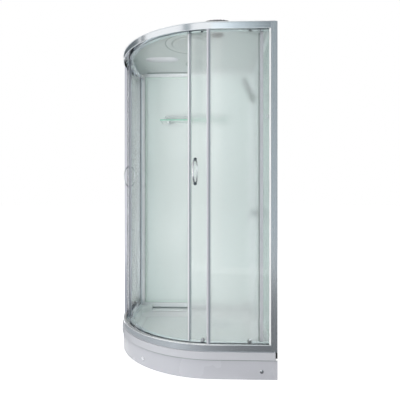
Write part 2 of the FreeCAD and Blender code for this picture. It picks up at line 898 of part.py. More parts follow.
def make_roof():
    wall = "(overall_side/2 - roof_wall_gap)"
    slope_end = "(%s - roof_side_gap)" % WALL_FACE
    past_end = "(%s + roof_flange)" % WALL_FACE
    foot = "(roof_inset + roof_foot)"
    crest = "(%s + roof_slope)" % foot
    flange_top = "(%s + roof_flange)" % RAIL_TOP
    roof_top = "(%s + roof_skin)" % CEILING
    body = document.addObject("PartDesign::Body", "Roof")
    pad_loop(body, "XY_Plane", RAIL_TOP, "roof_flange", quadrant_loop("roof_inset", slope_end, "roof_flange"))
    loft(
        body,
        "AdditiveLoft",
        (flange_top, quadrant_loop(foot, slope_end, "roof_flange")),
        (roof_top, quadrant_loop(crest, slope_end, "roof_flange")),
    )
    loft(
        body,
        "SubtractiveLoft",
        (RAIL_TOP, quadrant_loop("(%s + roof_skin)" % foot, past_end, "roof_flange")),
        (CEILING, quadrant_loop("(%s + roof_skin)" % crest, past_end, "roof_flange")),
    )
    pad_loop(body, "XY_Plane", CEILING, "roof_skin", quadrant_loop(crest, wall, "roof_flange"))
    boss = new_sketch(body, "XY_Plane", CEILING + " - rose_boss_drop")
    sketch_circle(boss, "rose_place_x", "rose_place_y", "rose_boss_radius")
    pad(body, boss, "rose_boss_drop")
    vent = new_sketch(body, "XY_Plane", CEILING)
    dome_place = ("(overall_side/2 - dome_wall_distance)", "(dome_front_distance - overall_side/2)")
    sketch_circle(vent, *dome_place, "vent_radius")
    pocket(body, vent, "roof_skin", True)
    named(body, "roof")

    rose = rod(
        "Rose",
        "Z",
        ("rose_place_x", "rose_place_y", CEILING + " - rose_boss_drop - rose_thickness"),
        "rose_radius",
        "rose_thickness",
    )
    named(rose, "overhead_shower")

    dome = document.addObject("PartDesign::Body", "Dome")
    corners = [
        ("dome_base_radius - dome_skin", "0"),
        ("dome_base_radius", "0"),
        ("dome_brim_radius", "dome_brim_height"),
        ("dome_crown_radius", "dome_crown_height"),
        ("0", "dome_height"),
        ("0", "dome_height - dome_skin"),
        ("dome_crown_radius", "dome_crown_height - dome_skin"),
        ("dome_brim_radius - dome_skin", "dome_brim_height - dome_skin"),
    ]
    revolve(dome, corners, {})
    place_body(dome, *dome_place, roof_top)
    named(dome, "roof_cap")


# Fittings


def make_shelf():
    right = "(overall_side/2 - shelf_wall_distance)"
    left = "(%s - shelf_length)" % right
    back = "(%s - shelf_back_gap)" % PANEL_FACE
    face = "(%s - shelf_depth)" % back
    top = "(%s + shelf_glass)" % SHELF_LEVEL
    named(block("ShelfGlass", (left, right), (face, back), (SHELF_LEVEL, top)), "shelf_glass")
    arms = []
    posts = []
    rail_line = "(%s + rail_edge)" % face
    rail_level = "(%s + rail_rise)" % top
    for side, middle in (("Left", "(%s + arm_inset)" % left), ("Right", "(%s - arm_inset)" % right)):
        arms.append(
            block(
                side + "Arm",
                (middle + " - arm_width/2", middle + " + arm_width/2"),
                (PANEL_FACE + " - arm_reach", PANEL_FACE),
                (SHELF_LEVEL + " - arm_height", SHELF_LEVEL),
            )
        )
    for side, middle in (("Left", "(%s + rail_inset)" % left), ("Right", "(%s - rail_inset)" % right)):
        posts.append(rod(side + "RailPost", "Z", (middle, rail_line, top), "rail_post_radius", "rail_rise"))
        run_back = "%s - %s" % (PANEL_FACE, rail_line)
        posts.append(rod(side + "RailEnd", "Y", (middle, rail_line, rail_level), "rail_tube", run_back))
    posts.append(
        rod(
            "RailFront",
            "X",
            (left + " + rail_inset", rail_line, rail_level),
            "rail_tube",
            "shelf_length - 2*rail_inset",
        )
    )
    named(group("ShelfBrackets", arms), "shelf_brackets")
    named(join("ShelfRail", posts), "shelf_rail")


def make_hand_shower():
    middle = "fitting_place"
    level = HOLDER_LEVEL
    pivot = "(%s - pivot_reach)" % PANEL_FACE
    cheek_out = "(knuckle_width/2 + cheek_play + cheek_thickness)"
    bridge_near = "(%s + knuckle_radius + cheek_play)" % pivot
    bridge_far = "(%s + cheek_thickness)" % bridge_near
    plate_place = (PANEL_FACE + " - holder_plate", middle, level)
    plate = rod("HolderPlate", "X", plate_place, "holder_plate_radius", "holder_plate")
    neck = rod(
        "HolderNeck", "X", (bridge_near, middle, level), "holder_neck_radius", "%s - %s" % (PANEL_FACE, bridge_near)
    )
    bridge = block(
        "HolderBridge",
        (bridge_near, bridge_far),
        ("fitting_place - " + cheek_out, "fitting_place + " + cheek_out),
        (level + " - holder_neck_radius", level + " + holder_neck_radius"),
    )
    cheeks = []
    for side, start in (
        ("Near", "fitting_place - " + cheek_out),
        ("Far", "fitting_place + knuckle_width/2 + cheek_play"),
    ):
        disc = rod(side + "CheekDisc", "Y", (pivot, start, level), "holder_neck_radius", "cheek_thickness")
        web = block(
            side + "CheekWeb",
            (pivot, bridge_far),
            (start, start + " + cheek_thickness"),
            (level + " - holder_neck_radius", level + " + holder_neck_radius"),
        )
        cheeks += [disc, web]
    pin = rod("PivotPin", "Y", (pivot, "fitting_place - " + cheek_out, level), "pivot_radius", "2*" + cheek_out)
    named(join("HolderMount", [plate, neck, bridge, pin] + cheeks), "holder_mount")

    knuckle = rod(
        "Knuckle", "Y", (pivot, "fitting_place - knuckle_width/2", level), "knuckle_radius", "knuckle_width"
    )
    tongue = block(
        "Tongue",
        ("%s - ring_reach" % pivot, pivot),
        ("fitting_place - knuckle_width/2", "fitting_place + knuckle_width/2"),
        (level + " - tongue_height/2", level + " + tongue_height/2"),
    )
    lean = FreeCAD.Rotation(Y_AXIS, -amount_of("handset_tilt"))
    grip_centre = FreeCAD.Vector(amount_of("%s - ring_reach" % pivot), amount_of(middle), amount_of(level))
    handset_frame = FreeCAD.Placement(grip_centre, lean)

    def along_grip(name, low, length, radius):
        item = document.addObject("Part::Cylinder", name)
        bind(item, "Radius", radius)
        bind(item, "Height", length)
        shift = FreeCAD.Placement(FreeCAD.Vector(0, 0, amount_of(low)), FreeCAD.Rotation())
        item.Placement = handset_frame.multiply(shift)
        return item

    ring = along_grip("Ring", "-ring_height/2", "ring_height", "ring_radius")
    bore = along_grip("RingBore", "-ring_height", "2*ring_height", "grip_radius + ring_play")
    pin_bore = rod(
        "KnuckleBore",
        "Y",
        (pivot, "fitting_place - knuckle_width/2", level),
        "pivot_radius + pin_play",
        "knuckle_width",
    )
    solid = join("HolderSolid", [knuckle, tongue, ring])
    named(less("HandsetHolder", solid, join("HolderBores", [bore, pin_bore])), "handset_holder")

    collar_low = "ring_height/2 + grip_collar_gap"
    grip = along_grip("Grip", "-(ring_height/2 + grip_below)", "ring_height + grip_below + grip_above", "grip_radius")
    collar = along_grip("Collar", collar_low, "grip_above - grip_collar_gap", "grip_collar_radius")
    head = document.addObject("Part::Cylinder", "SprayHead")
    bind(head, "Radius", "spray_radius")
    bind(head, "Height", "spray_thickness")
    head_height = amount_of("ring_height/2 + grip_above + spray_rise")
    head_shift = FreeCAD.Placement(
        FreeCAD.Vector(amount_of("-spray_thickness/2 - spray_lean"), 0, head_height), TO_AXIS["X"]
    )
    head.Placement = handset_frame.multiply(head_shift)
    named(join("HandShower", [grip, collar, head]), "hand_shower")


def make_mixer():
    middle = "fitting_place"
    level = "(mixer_height + mixer_lift)"
    plate_face = "(%s - mixer_plate)" % PANEL_FACE
    body_face = "(%s - mixer_body_length)" % plate_face
    diverter_level = "(mixer_height - diverter_drop)"
    plate = rod("MixerPlate", "X", (plate_face, middle, "mixer_height"), "mixer_plate_radius", "mixer_plate")
    barrel = rod("MixerBarrel", "X", (body_face, middle, level), "mixer_radius", "mixer_body_length")
    spindle = rod(
        "DiverterSpindle",
        "X",
        ("%s - diverter_length/2" % plate_face, middle, diverter_level),
        "spindle_radius",
        "diverter_length/2",
    )
    nipples = []
    for name, sign in (("Cold", "-"), ("Hot", "+")):
        place = "(fitting_place %s nipple_spacing/2)" % sign
        reach = "panel_back + panel_thickness"
        nipples.append(rod(name + "Nipple", "X", (PANEL_FACE, place, "mixer_height"), "nipple_radius", reach))
        shoulder = reach + " - nipple_thread"
        nipples.append(rod(name + "Shoulder", "X", (PANEL_FACE, place, "mixer_height"), "shoulder_radius", shoulder))
    named(join("MixerBody", [plate, barrel, spindle] + nipples), "mixer_body")

    stem_front = "(%s - stem_gap - stem_length)" % body_face
    stem = rod("MixerStemSolid", "X", (stem_front, middle, level), "stem_radius", "stem_length")
    half_slot = "(lever_width/2 + slot_play)"
    slot = block(
        "StemSlot",
        (stem_front, stem_front + " + slot_depth"),
        ("fitting_place - " + half_slot, "fitting_place + " + half_slot),
        (level + " - stem_radius", level + " + stem_radius"),
    )
    pivot = "(%s + lever_pivot_depth)" % stem_front
    pin = rod("LeverPin", "Y", (pivot, "fitting_place - " + half_slot, level), "pivot_radius", "2*" + half_slot)
    named(join("MixerStem", [less("StemFork", stem, slot), pin]), "mixer_stem")

    lever_side = (pivot, "fitting_place - lever_width/2", level)
    knuckle = rod("LeverKnuckle", "Y", lever_side, "lever_knuckle", "lever_width")
    neck = block(
        "LeverNeck",
        ("%s - lever_neck" % pivot, pivot),
        ("fitting_place - lever_width/2", "fitting_place + lever_width/2"),
        (level + " - lever_neck_height/2", level + " + lever_neck_height/2"),
    )
    paddle = block(
        "LeverPaddle",
        ("%s - lever_neck - lever_paddle" % pivot, "%s - lever_neck" % pivot),
        ("fitting_place - lever_paddle_width/2", "fitting_place + lever_paddle_width/2"),
        (level + " + lever_neck_height - lever_length", level + " + lever_neck_height"),
    )
    bore = rod("LeverBore", "Y", lever_side, "pivot_radius + pin_play", "lever_width")
    named(less("MixerLever", join("LeverSolid", [knuckle, neck, paddle]), bore), "mixer_lever")

    knob_front = "(%s - slot_play - diverter_length)" % plate_face
    knob = rod("KnobSolid", "X", (knob_front, middle, diverter_level), "diverter_radius", "diverter_length")
    knob_bore = rod(
        "KnobBore",
        "X",
        ("%s - diverter_length/2 - slot_play" % plate_face, middle, diverter_level),
        "spindle_radius + spindle_play",
        "diverter_length",
    )
    named(less("DiverterKnob", knob, knob_bore), "diverter_knob")


def make_robe_hook():
    """Turned in one piece: a round base, a stem, and a knob that flares out to a bevelled head."""
    body = document.addObject("PartDesign::Body", "RobeHook")
    knob_start = "(hook_base + hook_stem)"
    rim_start = knob_start + " + hook_knob_flare"
    bevel_start = rim_start + " + hook_knob_rim"
    tip = bevel_start + " + hook_knob_bevel"
    corners = [
        ("0", "0"),
        ("hook_base_radius", "0"),
        ("hook_base_radius", "hook_base"),
        ("hook_stem_radius", "hook_base"),
        ("hook_stem_radius", knob_start),
        ("hook_knob_radius", rim_start),
        ("hook_knob_radius", bevel_start),
        ("hook_knob_radius - hook_knob_bevel", tip),
        ("0", tip),
    ]
    revolve(body, corners, {})
    body.Placement.Rotation = FreeCAD.Rotation(Y_AXIS, -90)
    place_body(body, PANEL_FACE, "(hook_front_distance - overall_side/2)", HOOK_LEVEL)
    named(body, "robe_hook")


# Doors, drawn closed and then swung open about their pole


def direction_at(back):
    """The direction from the arc's centre to a point some distance back from the leading edge."""
    turn = "(%s + door_half_gap)/%s*180/pi" % (back, DOOR_RADIUS)
    return LEAD_DIRECTION + amount_of(turn)


def opened():
    """The turn about the door's pole that takes the closed door to the open one."""
    turn = FreeCAD.Rotation(Z_AXIS, amount_of("door_swing"))
    pole = FreeCAD.Vector(amount_of(ARC + " + pole_forward"), amount_of(ARC + " + pole_back"), 0)
    return FreeCAD.Placement(pole - turn.multVec(pole), turn)


OPENED = opened()


def swung(item):
    item.Placement = OPENED.multiply(item.Placement)
    return item


def sector(name, inner, outer, start, stop, upright):
    """A curved slab about the arc's centre, between two distances back from the leading edge."""
    solids = []
    for part, radius in (("Out", outer), ("In", inner)):
        item = document.addObject("Part::Cylinder", name + part)
        bind(item, "Radius", radius)
        bind(item, "Height", "(%s) - (%s)" % (upright[1], upright[0]))
        bind(item, "Angle", "((%s) - (%s))/%s*180/pi" % (stop, start, DOOR_RADIUS))
        item.Placement = on_arc(direction_at(start), 0, 0, 0, "Z")
        bind(item, "Placement.Base.z", upright[0])
        solids.append(item)
    return less(name, solids[0], solids[1])


def radial_rod(name, back, radial, level, radius, length):
    """A cylinder that starts at a distance from the arc's centre and runs outwards."""
    item = document.addObject("Part::Cylinder", name)
    bind(item, "Radius", radius)
    bind(item, "Height", length)
    item.Placement = on_arc(direction_at(back), amount_of(radial), 0, amount_of(level), "X")
    return item


def make_door_frame():
    upright = (PROFILE_LOW, PROFILE_TOP)
    lead_stop = "(magnet_width + lead_width)"
    trail_start = "(door_width - trail_width)"
    glass_start = "(%s - profile_groove + pane_edge_gap)" % lead_stop
    glass_stop = "(%s + profile_groove - pane_edge_gap)" % trail_start
    depth = ("%s - profile_depth/2" % DOOR_RADIUS, "%s + profile_depth/2" % DOOR_RADIUS)
    groove = ("%s - profile_play" % GLASS_IN, "%s + profile_play" % GLASS_OUT)
    lead = less(
        "LeadProfile",
        sector("LeadSolid", depth[0], depth[1], "magnet_width", lead_stop, upright),
        sector("LeadGroove", groove[0], groove[1], "%s - profile_groove" % lead_stop, lead_stop, upright),
    )
    both_sides(swung(lead), "right_door_lead_profile", "left_door_lead_profile")
    trail = less(
        "TrailProfile",
        sector("TrailSolid", depth[0], depth[1], trail_start, "door_width", upright),
        sector("TrailGroove", groove[0], groove[1], trail_start, "%s + profile_groove" % trail_start, upright),
    )
    both_sides(swung(trail), "right_door_trail_profile", "left_door_trail_profile")
    magnet_depth = ("%s - magnet_depth/2" % DOOR_RADIUS, "%s + magnet_depth/2" % DOOR_RADIUS)
    magnet = sector("Magnet", magnet_depth[0], magnet_depth[1], "0", "magnet_width", upright)
    both_sides(swung(magnet), "right_door_magnet_seal", "left_door_magnet_seal")

    slab = sector("GlassSlab", GLASS_IN, GLASS_OUT, glass_start, glass_stop, (DOOR_LOW, DOOR_TOP))
    holes = []
    for end, sign in (("Low", "-"), ("High", "+")):
        level = "handle_height %s handle_span/2" % sign
        holes.append(
            radial_rod(
                "BoltHole" + end,
                "handle_setback",
                GLASS_IN + " - glass_thickness",
                level,
                "bolt_radius + bolt_play",
                "glass_thickness*3",
            )
        )
    glass = less("DoorGlass", slab, join("BoltHoles", holes))
    both_sides(swung(glass), "right_door_glass", "left_door_glass")


def make_handle():
    rise = "(handle_reach - bow_root)"
    bow_radius = "((handle_span/2)^2 + %s^2)/(2*%s)" % (rise, rise)
    sweep = 2 * math.degrees(math.asin(amount_of("handle_span/2") / amount_of(bow_radius)))
    direction = direction_at("handle_setback")
    level = amount_of("handle_height")
    pieces = []
    for face, outward in (("Outer", True), ("Inner", False)):
        bow = document.addObject("Part::Torus", face + "Bow")
        bind(bow, "Radius1", bow_radius)
        bind(bow, "Radius2", "handle_tube")
        bow.Angle3 = sweep
        flat = FreeCAD.Rotation(X_AXIS, 90).multiply(FreeCAD.Rotation(Z_AXIS, -sweep / 2))
        reach = amount_of("handle_reach - (%s)" % bow_radius)
        radial = amount_of(GLASS_OUT) + reach if outward else amount_of(GLASS_IN) - reach
        place = on_arc(direction, radial, 0, level, "Z")
        facing = FreeCAD.Rotation() if outward else FreeCAD.Rotation(Z_AXIS, 180)
        bow.Placement = FreeCAD.Placement(place.Base, place.Rotation.multiply(facing).multiply(flat))
        pieces.append(bow)
        for end, sign in (("Low", "-"), ("High", "+")):
            start = GLASS_OUT if outward else GLASS_IN + " - boss_seat_play - handle_boss"
            place_level = "handle_height %s handle_span/2" % sign
            boss_name = face + end + "Boss"
            pieces.append(
                radial_rod(boss_name, "handle_setback", start, place_level, "handle_boss_radius", "handle_boss")
            )
    for end, sign in (("Low", "-"), ("High", "+")):
        place_level = "handle_height %s handle_span/2" % sign
        pieces.append(
            radial_rod(
                end + "Bolt",
                "handle_setback",
                GLASS_IN + " - boss_seat_play",
                place_level,
                "bolt_radius",
                "glass_thickness + boss_seat_play",
            )
        )
    handle = join("Handle", pieces)
    both_sides(swung(handle), "right_door_handle", "left_door_handle")


def make_rollers():
    carriers = []
    wheels = []
    for end, axle_level, lap_low, lap_high in (
        ("Top", TOP_TRACK + " + wheel_gap + wheel_radius", "%s - carrier_lap" % DOOR_TOP, "carrier_tip"),
        ("Bottom", LOW_TRACK + " + wheel_gap + wheel_radius", "-carrier_tip", "%s + carrier_lap" % DOOR_LOW),
    ):
        upright = (
            (lap_low, "%s + %s" % (axle_level, lap_high)) if end == "Top" else (axle_level + lap_low, lap_high)
        )
        for place, back in (("front", "roller_front"), ("rear", "roller_rear")):
            name = end + place.title()
            plate = document.addObject("Part::Box", name + "Plate")
            bind(plate, "Length", "carrier_thickness")
            bind(plate, "Width", "carrier_width")
            bind(plate, "Height", "(%s) - (%s)" % (upright[1], upright[0]))
            plate.Placement = on_arc(
                direction_at(back), amount_of(GLASS_OUT), amount_of("-carrier_width/2"), amount_of(upright[0]), "Z"
            )
            wheel_in = "%s - wheel_offset - wheel_width/2" % DOOR_RADIUS
            axle_length = "carrier_thickness + glass_thickness/2 + wheel_offset + wheel_width/2"
            axle = radial_rod(name + "Axle", back, wheel_in, axle_level, "axle_radius", axle_length)
            cap_start = GLASS_OUT + " + carrier_thickness"
            cap = radial_rod(name + "Cap", back, cap_start, axle_level, "carrier_cap_radius", "carrier_cap")
            carriers.append(join(name + "Carrier", [plate, axle, cap]))
            tyre = radial_rod(name + "Tyre", back, wheel_in, axle_level, "wheel_radius", "wheel_width")
            bore = radial_rod(name + "Bore", back, wheel_in, axle_level, "axle_radius + wheel_play", "wheel_width")
            wheels.append((less(name + "Wheel", tyre, bore), "wheel_%s_%s" % (end.lower(), place)))
    both_sides(swung(group("Carriers", carriers)), "right_door_carriers", "left_door_carriers")
    for wheel, label in wheels:
        both_sides(swung(wheel), "right_" + label, "left_" + label)


make_tray()
make_tray_frame()
make_feet()
make_skirt()
make_corner_blocks()
make_waste()
make_rails()
make_fixed_glazing()
make_walls()
make_roof()
make_shelf()
make_hand_shower()
make_mixer()
make_robe_hook()
make_door_frame()
make_handle()
make_rollers()
document.recompute()

# Checks and files
for item in document.Objects:
    if "Invalid" in item.State or "Touched" in item.State:
        raise ValueError("%s did not recompute: %s" % (item.Name, item.State))
os.makedirs("parts", exist_ok=True)
for node in NODES:
    if node.Shape.isNull() or not node.Shape.isValid() or node.Shape.Volume <= 0:
        raise ValueError(node.Label + " has no valid solid")
    node.Shape.exportStep("parts/%s.step" % node.Label)
print(len(NODES), "nodes")
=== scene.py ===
"""Looks of a quadrant shower cabin: studio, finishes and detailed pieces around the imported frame.

Metres, +Z up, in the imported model's own frame. The room's corner is at (+X, +Y), and the curved front with
its two sliding doors faces (-X, -Y). The front's left half is its right half mirrored in the plane x = y.
"""

import json
import math

import bmesh
import bpy
import numpy as np
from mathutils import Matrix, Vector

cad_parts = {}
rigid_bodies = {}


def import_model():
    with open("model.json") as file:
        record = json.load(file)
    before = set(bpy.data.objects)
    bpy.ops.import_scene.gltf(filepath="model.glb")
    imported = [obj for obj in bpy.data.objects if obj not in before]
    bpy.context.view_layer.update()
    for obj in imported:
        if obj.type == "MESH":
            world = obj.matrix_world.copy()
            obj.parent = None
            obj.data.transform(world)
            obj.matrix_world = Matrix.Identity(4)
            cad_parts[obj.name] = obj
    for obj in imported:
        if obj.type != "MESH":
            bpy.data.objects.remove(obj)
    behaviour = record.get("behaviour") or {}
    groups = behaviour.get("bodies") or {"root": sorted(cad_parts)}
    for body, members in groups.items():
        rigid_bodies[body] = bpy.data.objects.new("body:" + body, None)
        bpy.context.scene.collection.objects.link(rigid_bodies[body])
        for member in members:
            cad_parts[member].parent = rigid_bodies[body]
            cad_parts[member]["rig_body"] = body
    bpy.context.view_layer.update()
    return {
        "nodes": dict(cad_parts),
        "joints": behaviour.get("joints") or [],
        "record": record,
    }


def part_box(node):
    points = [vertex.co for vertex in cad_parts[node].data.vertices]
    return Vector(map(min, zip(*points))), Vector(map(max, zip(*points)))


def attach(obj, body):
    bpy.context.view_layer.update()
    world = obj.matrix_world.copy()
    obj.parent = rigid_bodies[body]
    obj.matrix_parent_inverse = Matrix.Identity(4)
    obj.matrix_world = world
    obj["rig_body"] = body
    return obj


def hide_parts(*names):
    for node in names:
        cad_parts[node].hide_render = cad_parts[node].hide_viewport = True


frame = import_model()
NODES = frame["nodes"]


# Camera, at the photograph's viewing angle

CAMERA_PLACE = (0.137, -2.655, 1.006)
CAMERA_TURN = 0.032
CAMERA_LENS = 34.72


def set_camera():
    data = bpy.data.cameras.new("camera")
    data.lens = CAMERA_LENS
    camera = bpy.data.objects.new("camera", data)
    camera.location = CAMERA_PLACE
    camera.rotation_euler = (math.pi / 2, 0, CAMERA_TURN)
    bpy.context.scene.collection.objects.link(camera)
    bpy.context.scene.camera = camera


# Shader nodes

PLAIN = (1.0, 1.0, 1.0)


def add(tree, kind, inputs=None, **settings):
    """A node with its settings, and its inputs given as values or as sockets to link from."""
    node = tree.nodes.new(kind)
    for name, value in settings.items():
        setattr(node, name, value)
    for name, value in (inputs or {}).items():
        if isinstance(value, bpy.types.NodeSocket):
            tree.links.new(value, node.inputs[name])
        else:
            node.inputs[name].default_value = value
    return node


def math_node(tree, operation, first, second):
    return add(tree, "ShaderNodeMath", {0: first, 1: second}, operation=operation).outputs[0]


def new_group(name, inputs, outputs):
    """A shader node group with named float or vector inputs and float outputs."""
    tree = bpy.data.node_groups.new(name, "ShaderNodeTree")
    for label, value in inputs.items():
        kind = "NodeSocketVector" if isinstance(value, tuple) else "NodeSocketFloat"
        socket = tree.interface.new_socket(label, in_out="INPUT", socket_type=kind)
        socket.default_value = value
    for label in outputs:
        tree.interface.new_socket(label, in_out="OUTPUT", socket_type="NodeSocketFloat")
    return tree, add(tree, "NodeGroupInput"), add(tree, "NodeGroupOutput")


def object_point(tree, scale):
    """Object coordinates stretched by a vector, for a pattern that keeps to the piece."""
    place = add(tree, "ShaderNodeTexCoord")
    return add(tree, "ShaderNodeMapping", {"Vector": place.outputs["Object"], "Scale": scale}).outputs[0]


def noise(tree, point, scale, detail):
    values = {"Vector": point, "Scale": scale, "Detail": detail}
    return add(tree, "ShaderNodeTexNoise", values).outputs["Fac"]


def ranged(tree, value, low, high):
    """A value from 0 to 1 carried to the range from low to high."""
    return add(tree, "ShaderNodeMapRange", {"Value": value, "To Min": low, "To Max": high}).outputs[0]


def share_between(tree, value, start, stop):
    """0 where the value is at start, 1 where it is at stop."""
    return add(tree, "ShaderNodeMapRange", {"Value": value, "From Min": start, "From Max": stop}).outputs[0]


def make_grain_group():
    """Fine relief of a moulded or sprayed skin, with a slow drift of tone across it."""
    inputs = {"Stretch": PLAIN, "Fine": 900.0, "Broad": 7.0}
    tree, start, stop = new_group("skin_grain", inputs, ("Height", "Tone"))
    point = object_point(tree, start.outputs["Stretch"])
    tree.links.new(noise(tree, point, start.outputs["Fine"], 3.0), stop.inputs["Height"])
    tree.links.new(noise(tree, point, start.outputs["Broad"], 4.0), stop.inputs["Tone"])
    return tree


def make_brush_group():
    """Fine lines drawn out along one direction, as on an extruded or brushed metal."""
    inputs = {"Stretch": (1.0, 1.0, 0.01), "Fine": 1500.0, "Broad": 90.0}
    tree, start, stop = new_group("brushed_lines", inputs, ("Height", "Tone"))
    point = object_point(tree, start.outputs["Stretch"])
    tree.links.new(noise(tree, point, start.outputs["Fine"], 1.0), stop.inputs["Height"])
    tree.links.new(noise(tree, point, start.outputs["Broad"], 3.0), stop.inputs["Tone"])
    return tree


SPOT_EDGE = 0.16
SPOT_CORE = 0.05
RUN_EDGE = 0.52
RUN_CORE = 0.75
RUN_STRETCH = (1.0, 1.0, 0.05)


def make_water_group():
    """Dried drops and runs: round spots from cell distances, and upright streaks from stretched noise."""
    tree, start, stop = new_group("water_marks", {"Spots": 60.0, "Runs": 26.0}, ("Mask",))
    place = object_point(tree, PLAIN)
    cells = add(tree, "ShaderNodeTexVoronoi", {"Vector": place, "Scale": start.outputs["Spots"]})
    near = share_between(tree, cells.outputs["Distance"], SPOT_EDGE, SPOT_CORE)
    runs = noise(tree, object_point(tree, RUN_STRETCH), start.outputs["Runs"], 2.0)
    streak = share_between(tree, runs, RUN_EDGE, RUN_CORE)
    tree.links.new(math_node(tree, "MAXIMUM", near, streak), stop.inputs["Mask"])
    return tree


def make_spangle_group():
    """The crystal flakes of a zinc coat: one tone for each cell."""
    tree, start, stop = new_group("zinc_spangle", {"Flakes": 160.0}, ("Tone",))
    point = object_point(tree, PLAIN)
    cells = add(tree, "ShaderNodeTexVoronoi", {"Vector": point, "Scale": start.outputs["Flakes"]})
    grey = add(tree, "ShaderNodeRGBToBW", {"Color": cells.outputs["Color"]})
    tree.links.new(grey.outputs[0], stop.inputs["Tone"])
    return tree


GRAIN = make_grain_group()
BRUSH = make_brush_group()
WATER = make_water_group()
SPANGLE = make_spangle_group()


# Finishes

# The plan: half the side, the arc's centre on both axes, the lip's radius and the width of its strip of
# painted shade
SIDE = 0.5
ARC = 0.14
LIP_RADIUS = 0.64
LIP_STRIP = 0.025
ALONG_Z = (1.0, 1.0, 0.004)
ROUND_Z = (0.05, 0.05, 1.0)
HANDLE_LEVEL = sum(corner[2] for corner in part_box("right_door_handle")) / 2
HANDLE_HALF_SPAN = 0.07
SKIN_GRAIN = 700.0
SKIN_DEPTH = 0.0002
SKIN_RELIEF = 0.2
SKIN_SPREAD = 0.06
METAL_SPREAD = 0.1
METAL_RELIEF = 0.1
METAL_DEPTH = 0.00004
WATER_SPREAD = 0.12
GLASS_DRIFT = 0.985
GLASS_RELIEF = 0.08
PANEL_DEPTH = 0.00005
ZINC_DARK = (0.42, 0.43, 0.45)
ZINC_LIGHT = (0.66, 0.67, 0.68)


def new_material(name):
    material = bpy.data.materials.new(name)
    material.use_nodes = True
    tree = material.node_tree
    return material, tree, tree.nodes["Principled BSDF"]


def place_group(tree, group, **values):
    node = add(tree, "ShaderNodeGroup", node_tree=group)
    for name, value in values.items():
        node.inputs[name].default_value = value
    return node.outputs


def two_tones(tree, factor, first, second):
    node = add(tree, "ShaderNodeMix", {"Factor": factor}, data_type="RGBA")
    node.inputs[6].default_value = (*first, 1)
    node.inputs[7].default_value = (*second, 1)
    return node.outputs[2]


def relief(tree, shader, height, strength, depth):
    bump = add(tree, "ShaderNodeBump", {"Height": height, "Strength": strength, "Distance": depth})
    tree.links.new(bump.outputs[0], shader.inputs["Normal"])


def moulded(name, light, dark, rough, fine=SKIN_GRAIN, depth=SKIN_DEPTH, coat=0.0, wet=False):
    """A moulded or sprayed skin: two close tones and a fine relief.

    Where it is wet, dried water dulls its gloss.
    """
    material, tree, shader = new_material(name)
    grain = place_group(tree, GRAIN, Fine=fine)
    dulled = place_group(tree, WATER)["Mask"] if wet else grain["Tone"]
    tree.links.new(two_tones(tree, grain["Tone"], dark, light), shader.inputs["Base Color"])
    tree.links.new(ranged(tree, dulled, rough, rough + SKIN_SPREAD), shader.inputs["Roughness"])
    relief(tree, shader, grain["Height"], SKIN_RELIEF, depth)
    shader.inputs["Coat Weight"].default_value = coat
    shader.inputs["Coat Roughness"].default_value = 0.06
    return material


def sprayed(name, light, dark, rough):
    return moulded(name, light, dark, rough, fine=500.0)


def rubber(name, light, dark, rough):
    return moulded(name, light, dark, rough, fine=1200.0)


def glossy(name, light, dark, rough, coat):
    return moulded(name, light, dark, rough, coat=coat)


def wet_skin(name, light, dark, rough, depth=SKIN_DEPTH, coat=0.0):
    return moulded(name, light, dark, rough, depth=depth, coat=coat, wet=True)


def drawn_metal(name, light, dark, rough, stretch):
    """Extruded or brushed metal: lines along the run in tone, gloss and relief."""
    material, tree, shader = new_material(name)
    lines = place_group(tree, BRUSH, Stretch=stretch)
    shader.inputs["Metallic"].default_value = 1.0
    tree.links.new(two_tones(tree, lines["Tone"], dark, light), shader.inputs["Base Color"])
    tree.links.new(ranged(tree, lines["Tone"], rough, rough + METAL_SPREAD), shader.inputs["Roughness"])
    relief(tree, shader, lines["Height"], METAL_RELIEF, METAL_DEPTH)
    return material


def polished(name, light, dark, rough):
    """Plated metal with faint water marks in its gloss."""
    material, tree, shader = new_material(name)
    water = place_group(tree, WATER, Spots=140.0, Runs=60.0)
    grain = place_group(tree, GRAIN)
    shader.inputs["Metallic"].default_value = 1.0
    tree.links.new(two_tones(tree, grain["Tone"], dark, light), shader.inputs["Base Color"])
    tree.links.new(ranged(tree, water["Mask"], rough, rough + WATER_SPREAD), shader.inputs["Roughness"])
    return material


def tray_skin_painted_shade(name, lip, basin, rough):
    """A moulded tray: the lip's tone, a darker lilac painted shade, up to LIP_STRIP inside the outline, then
    the basin's.

    The inset from the outline is its radius less the length of (max(ARC - x, 0), max(ARC - y, 0)).
    """
    material, tree, shader = new_material(name)
    grain = place_group(tree, GRAIN, Fine=SKIN_GRAIN)
    place = add(tree, "ShaderNodeSeparateXYZ", {0: object_point(tree, PLAIN)})
    squares = []
    for axis in ("X", "Y"):
        short = math_node(tree, "MAXIMUM", math_node(tree, "SUBTRACT", ARC, place.outputs[axis]), 0.0)
        squares.append(math_node(tree, "MULTIPLY", short, short))
    length = math_node(tree, "SQRT", math_node(tree, "ADD", *squares), 0.0)
    inset = math_node(tree, "SUBTRACT", LIP_RADIUS, length)
    inside = math_node(tree, "GREATER_THAN", inset, LIP_STRIP)
    tree.links.new(two_tones(tree, inside, lip, basin), shader.inputs["Base Color"])
    tree.links.new(ranged(tree, grain["Tone"], rough, rough + SKIN_SPREAD), shader.inputs["Roughness"])
    relief(tree, shader, grain["Height"], SKIN_RELIEF, SKIN_DEPTH)
    return material


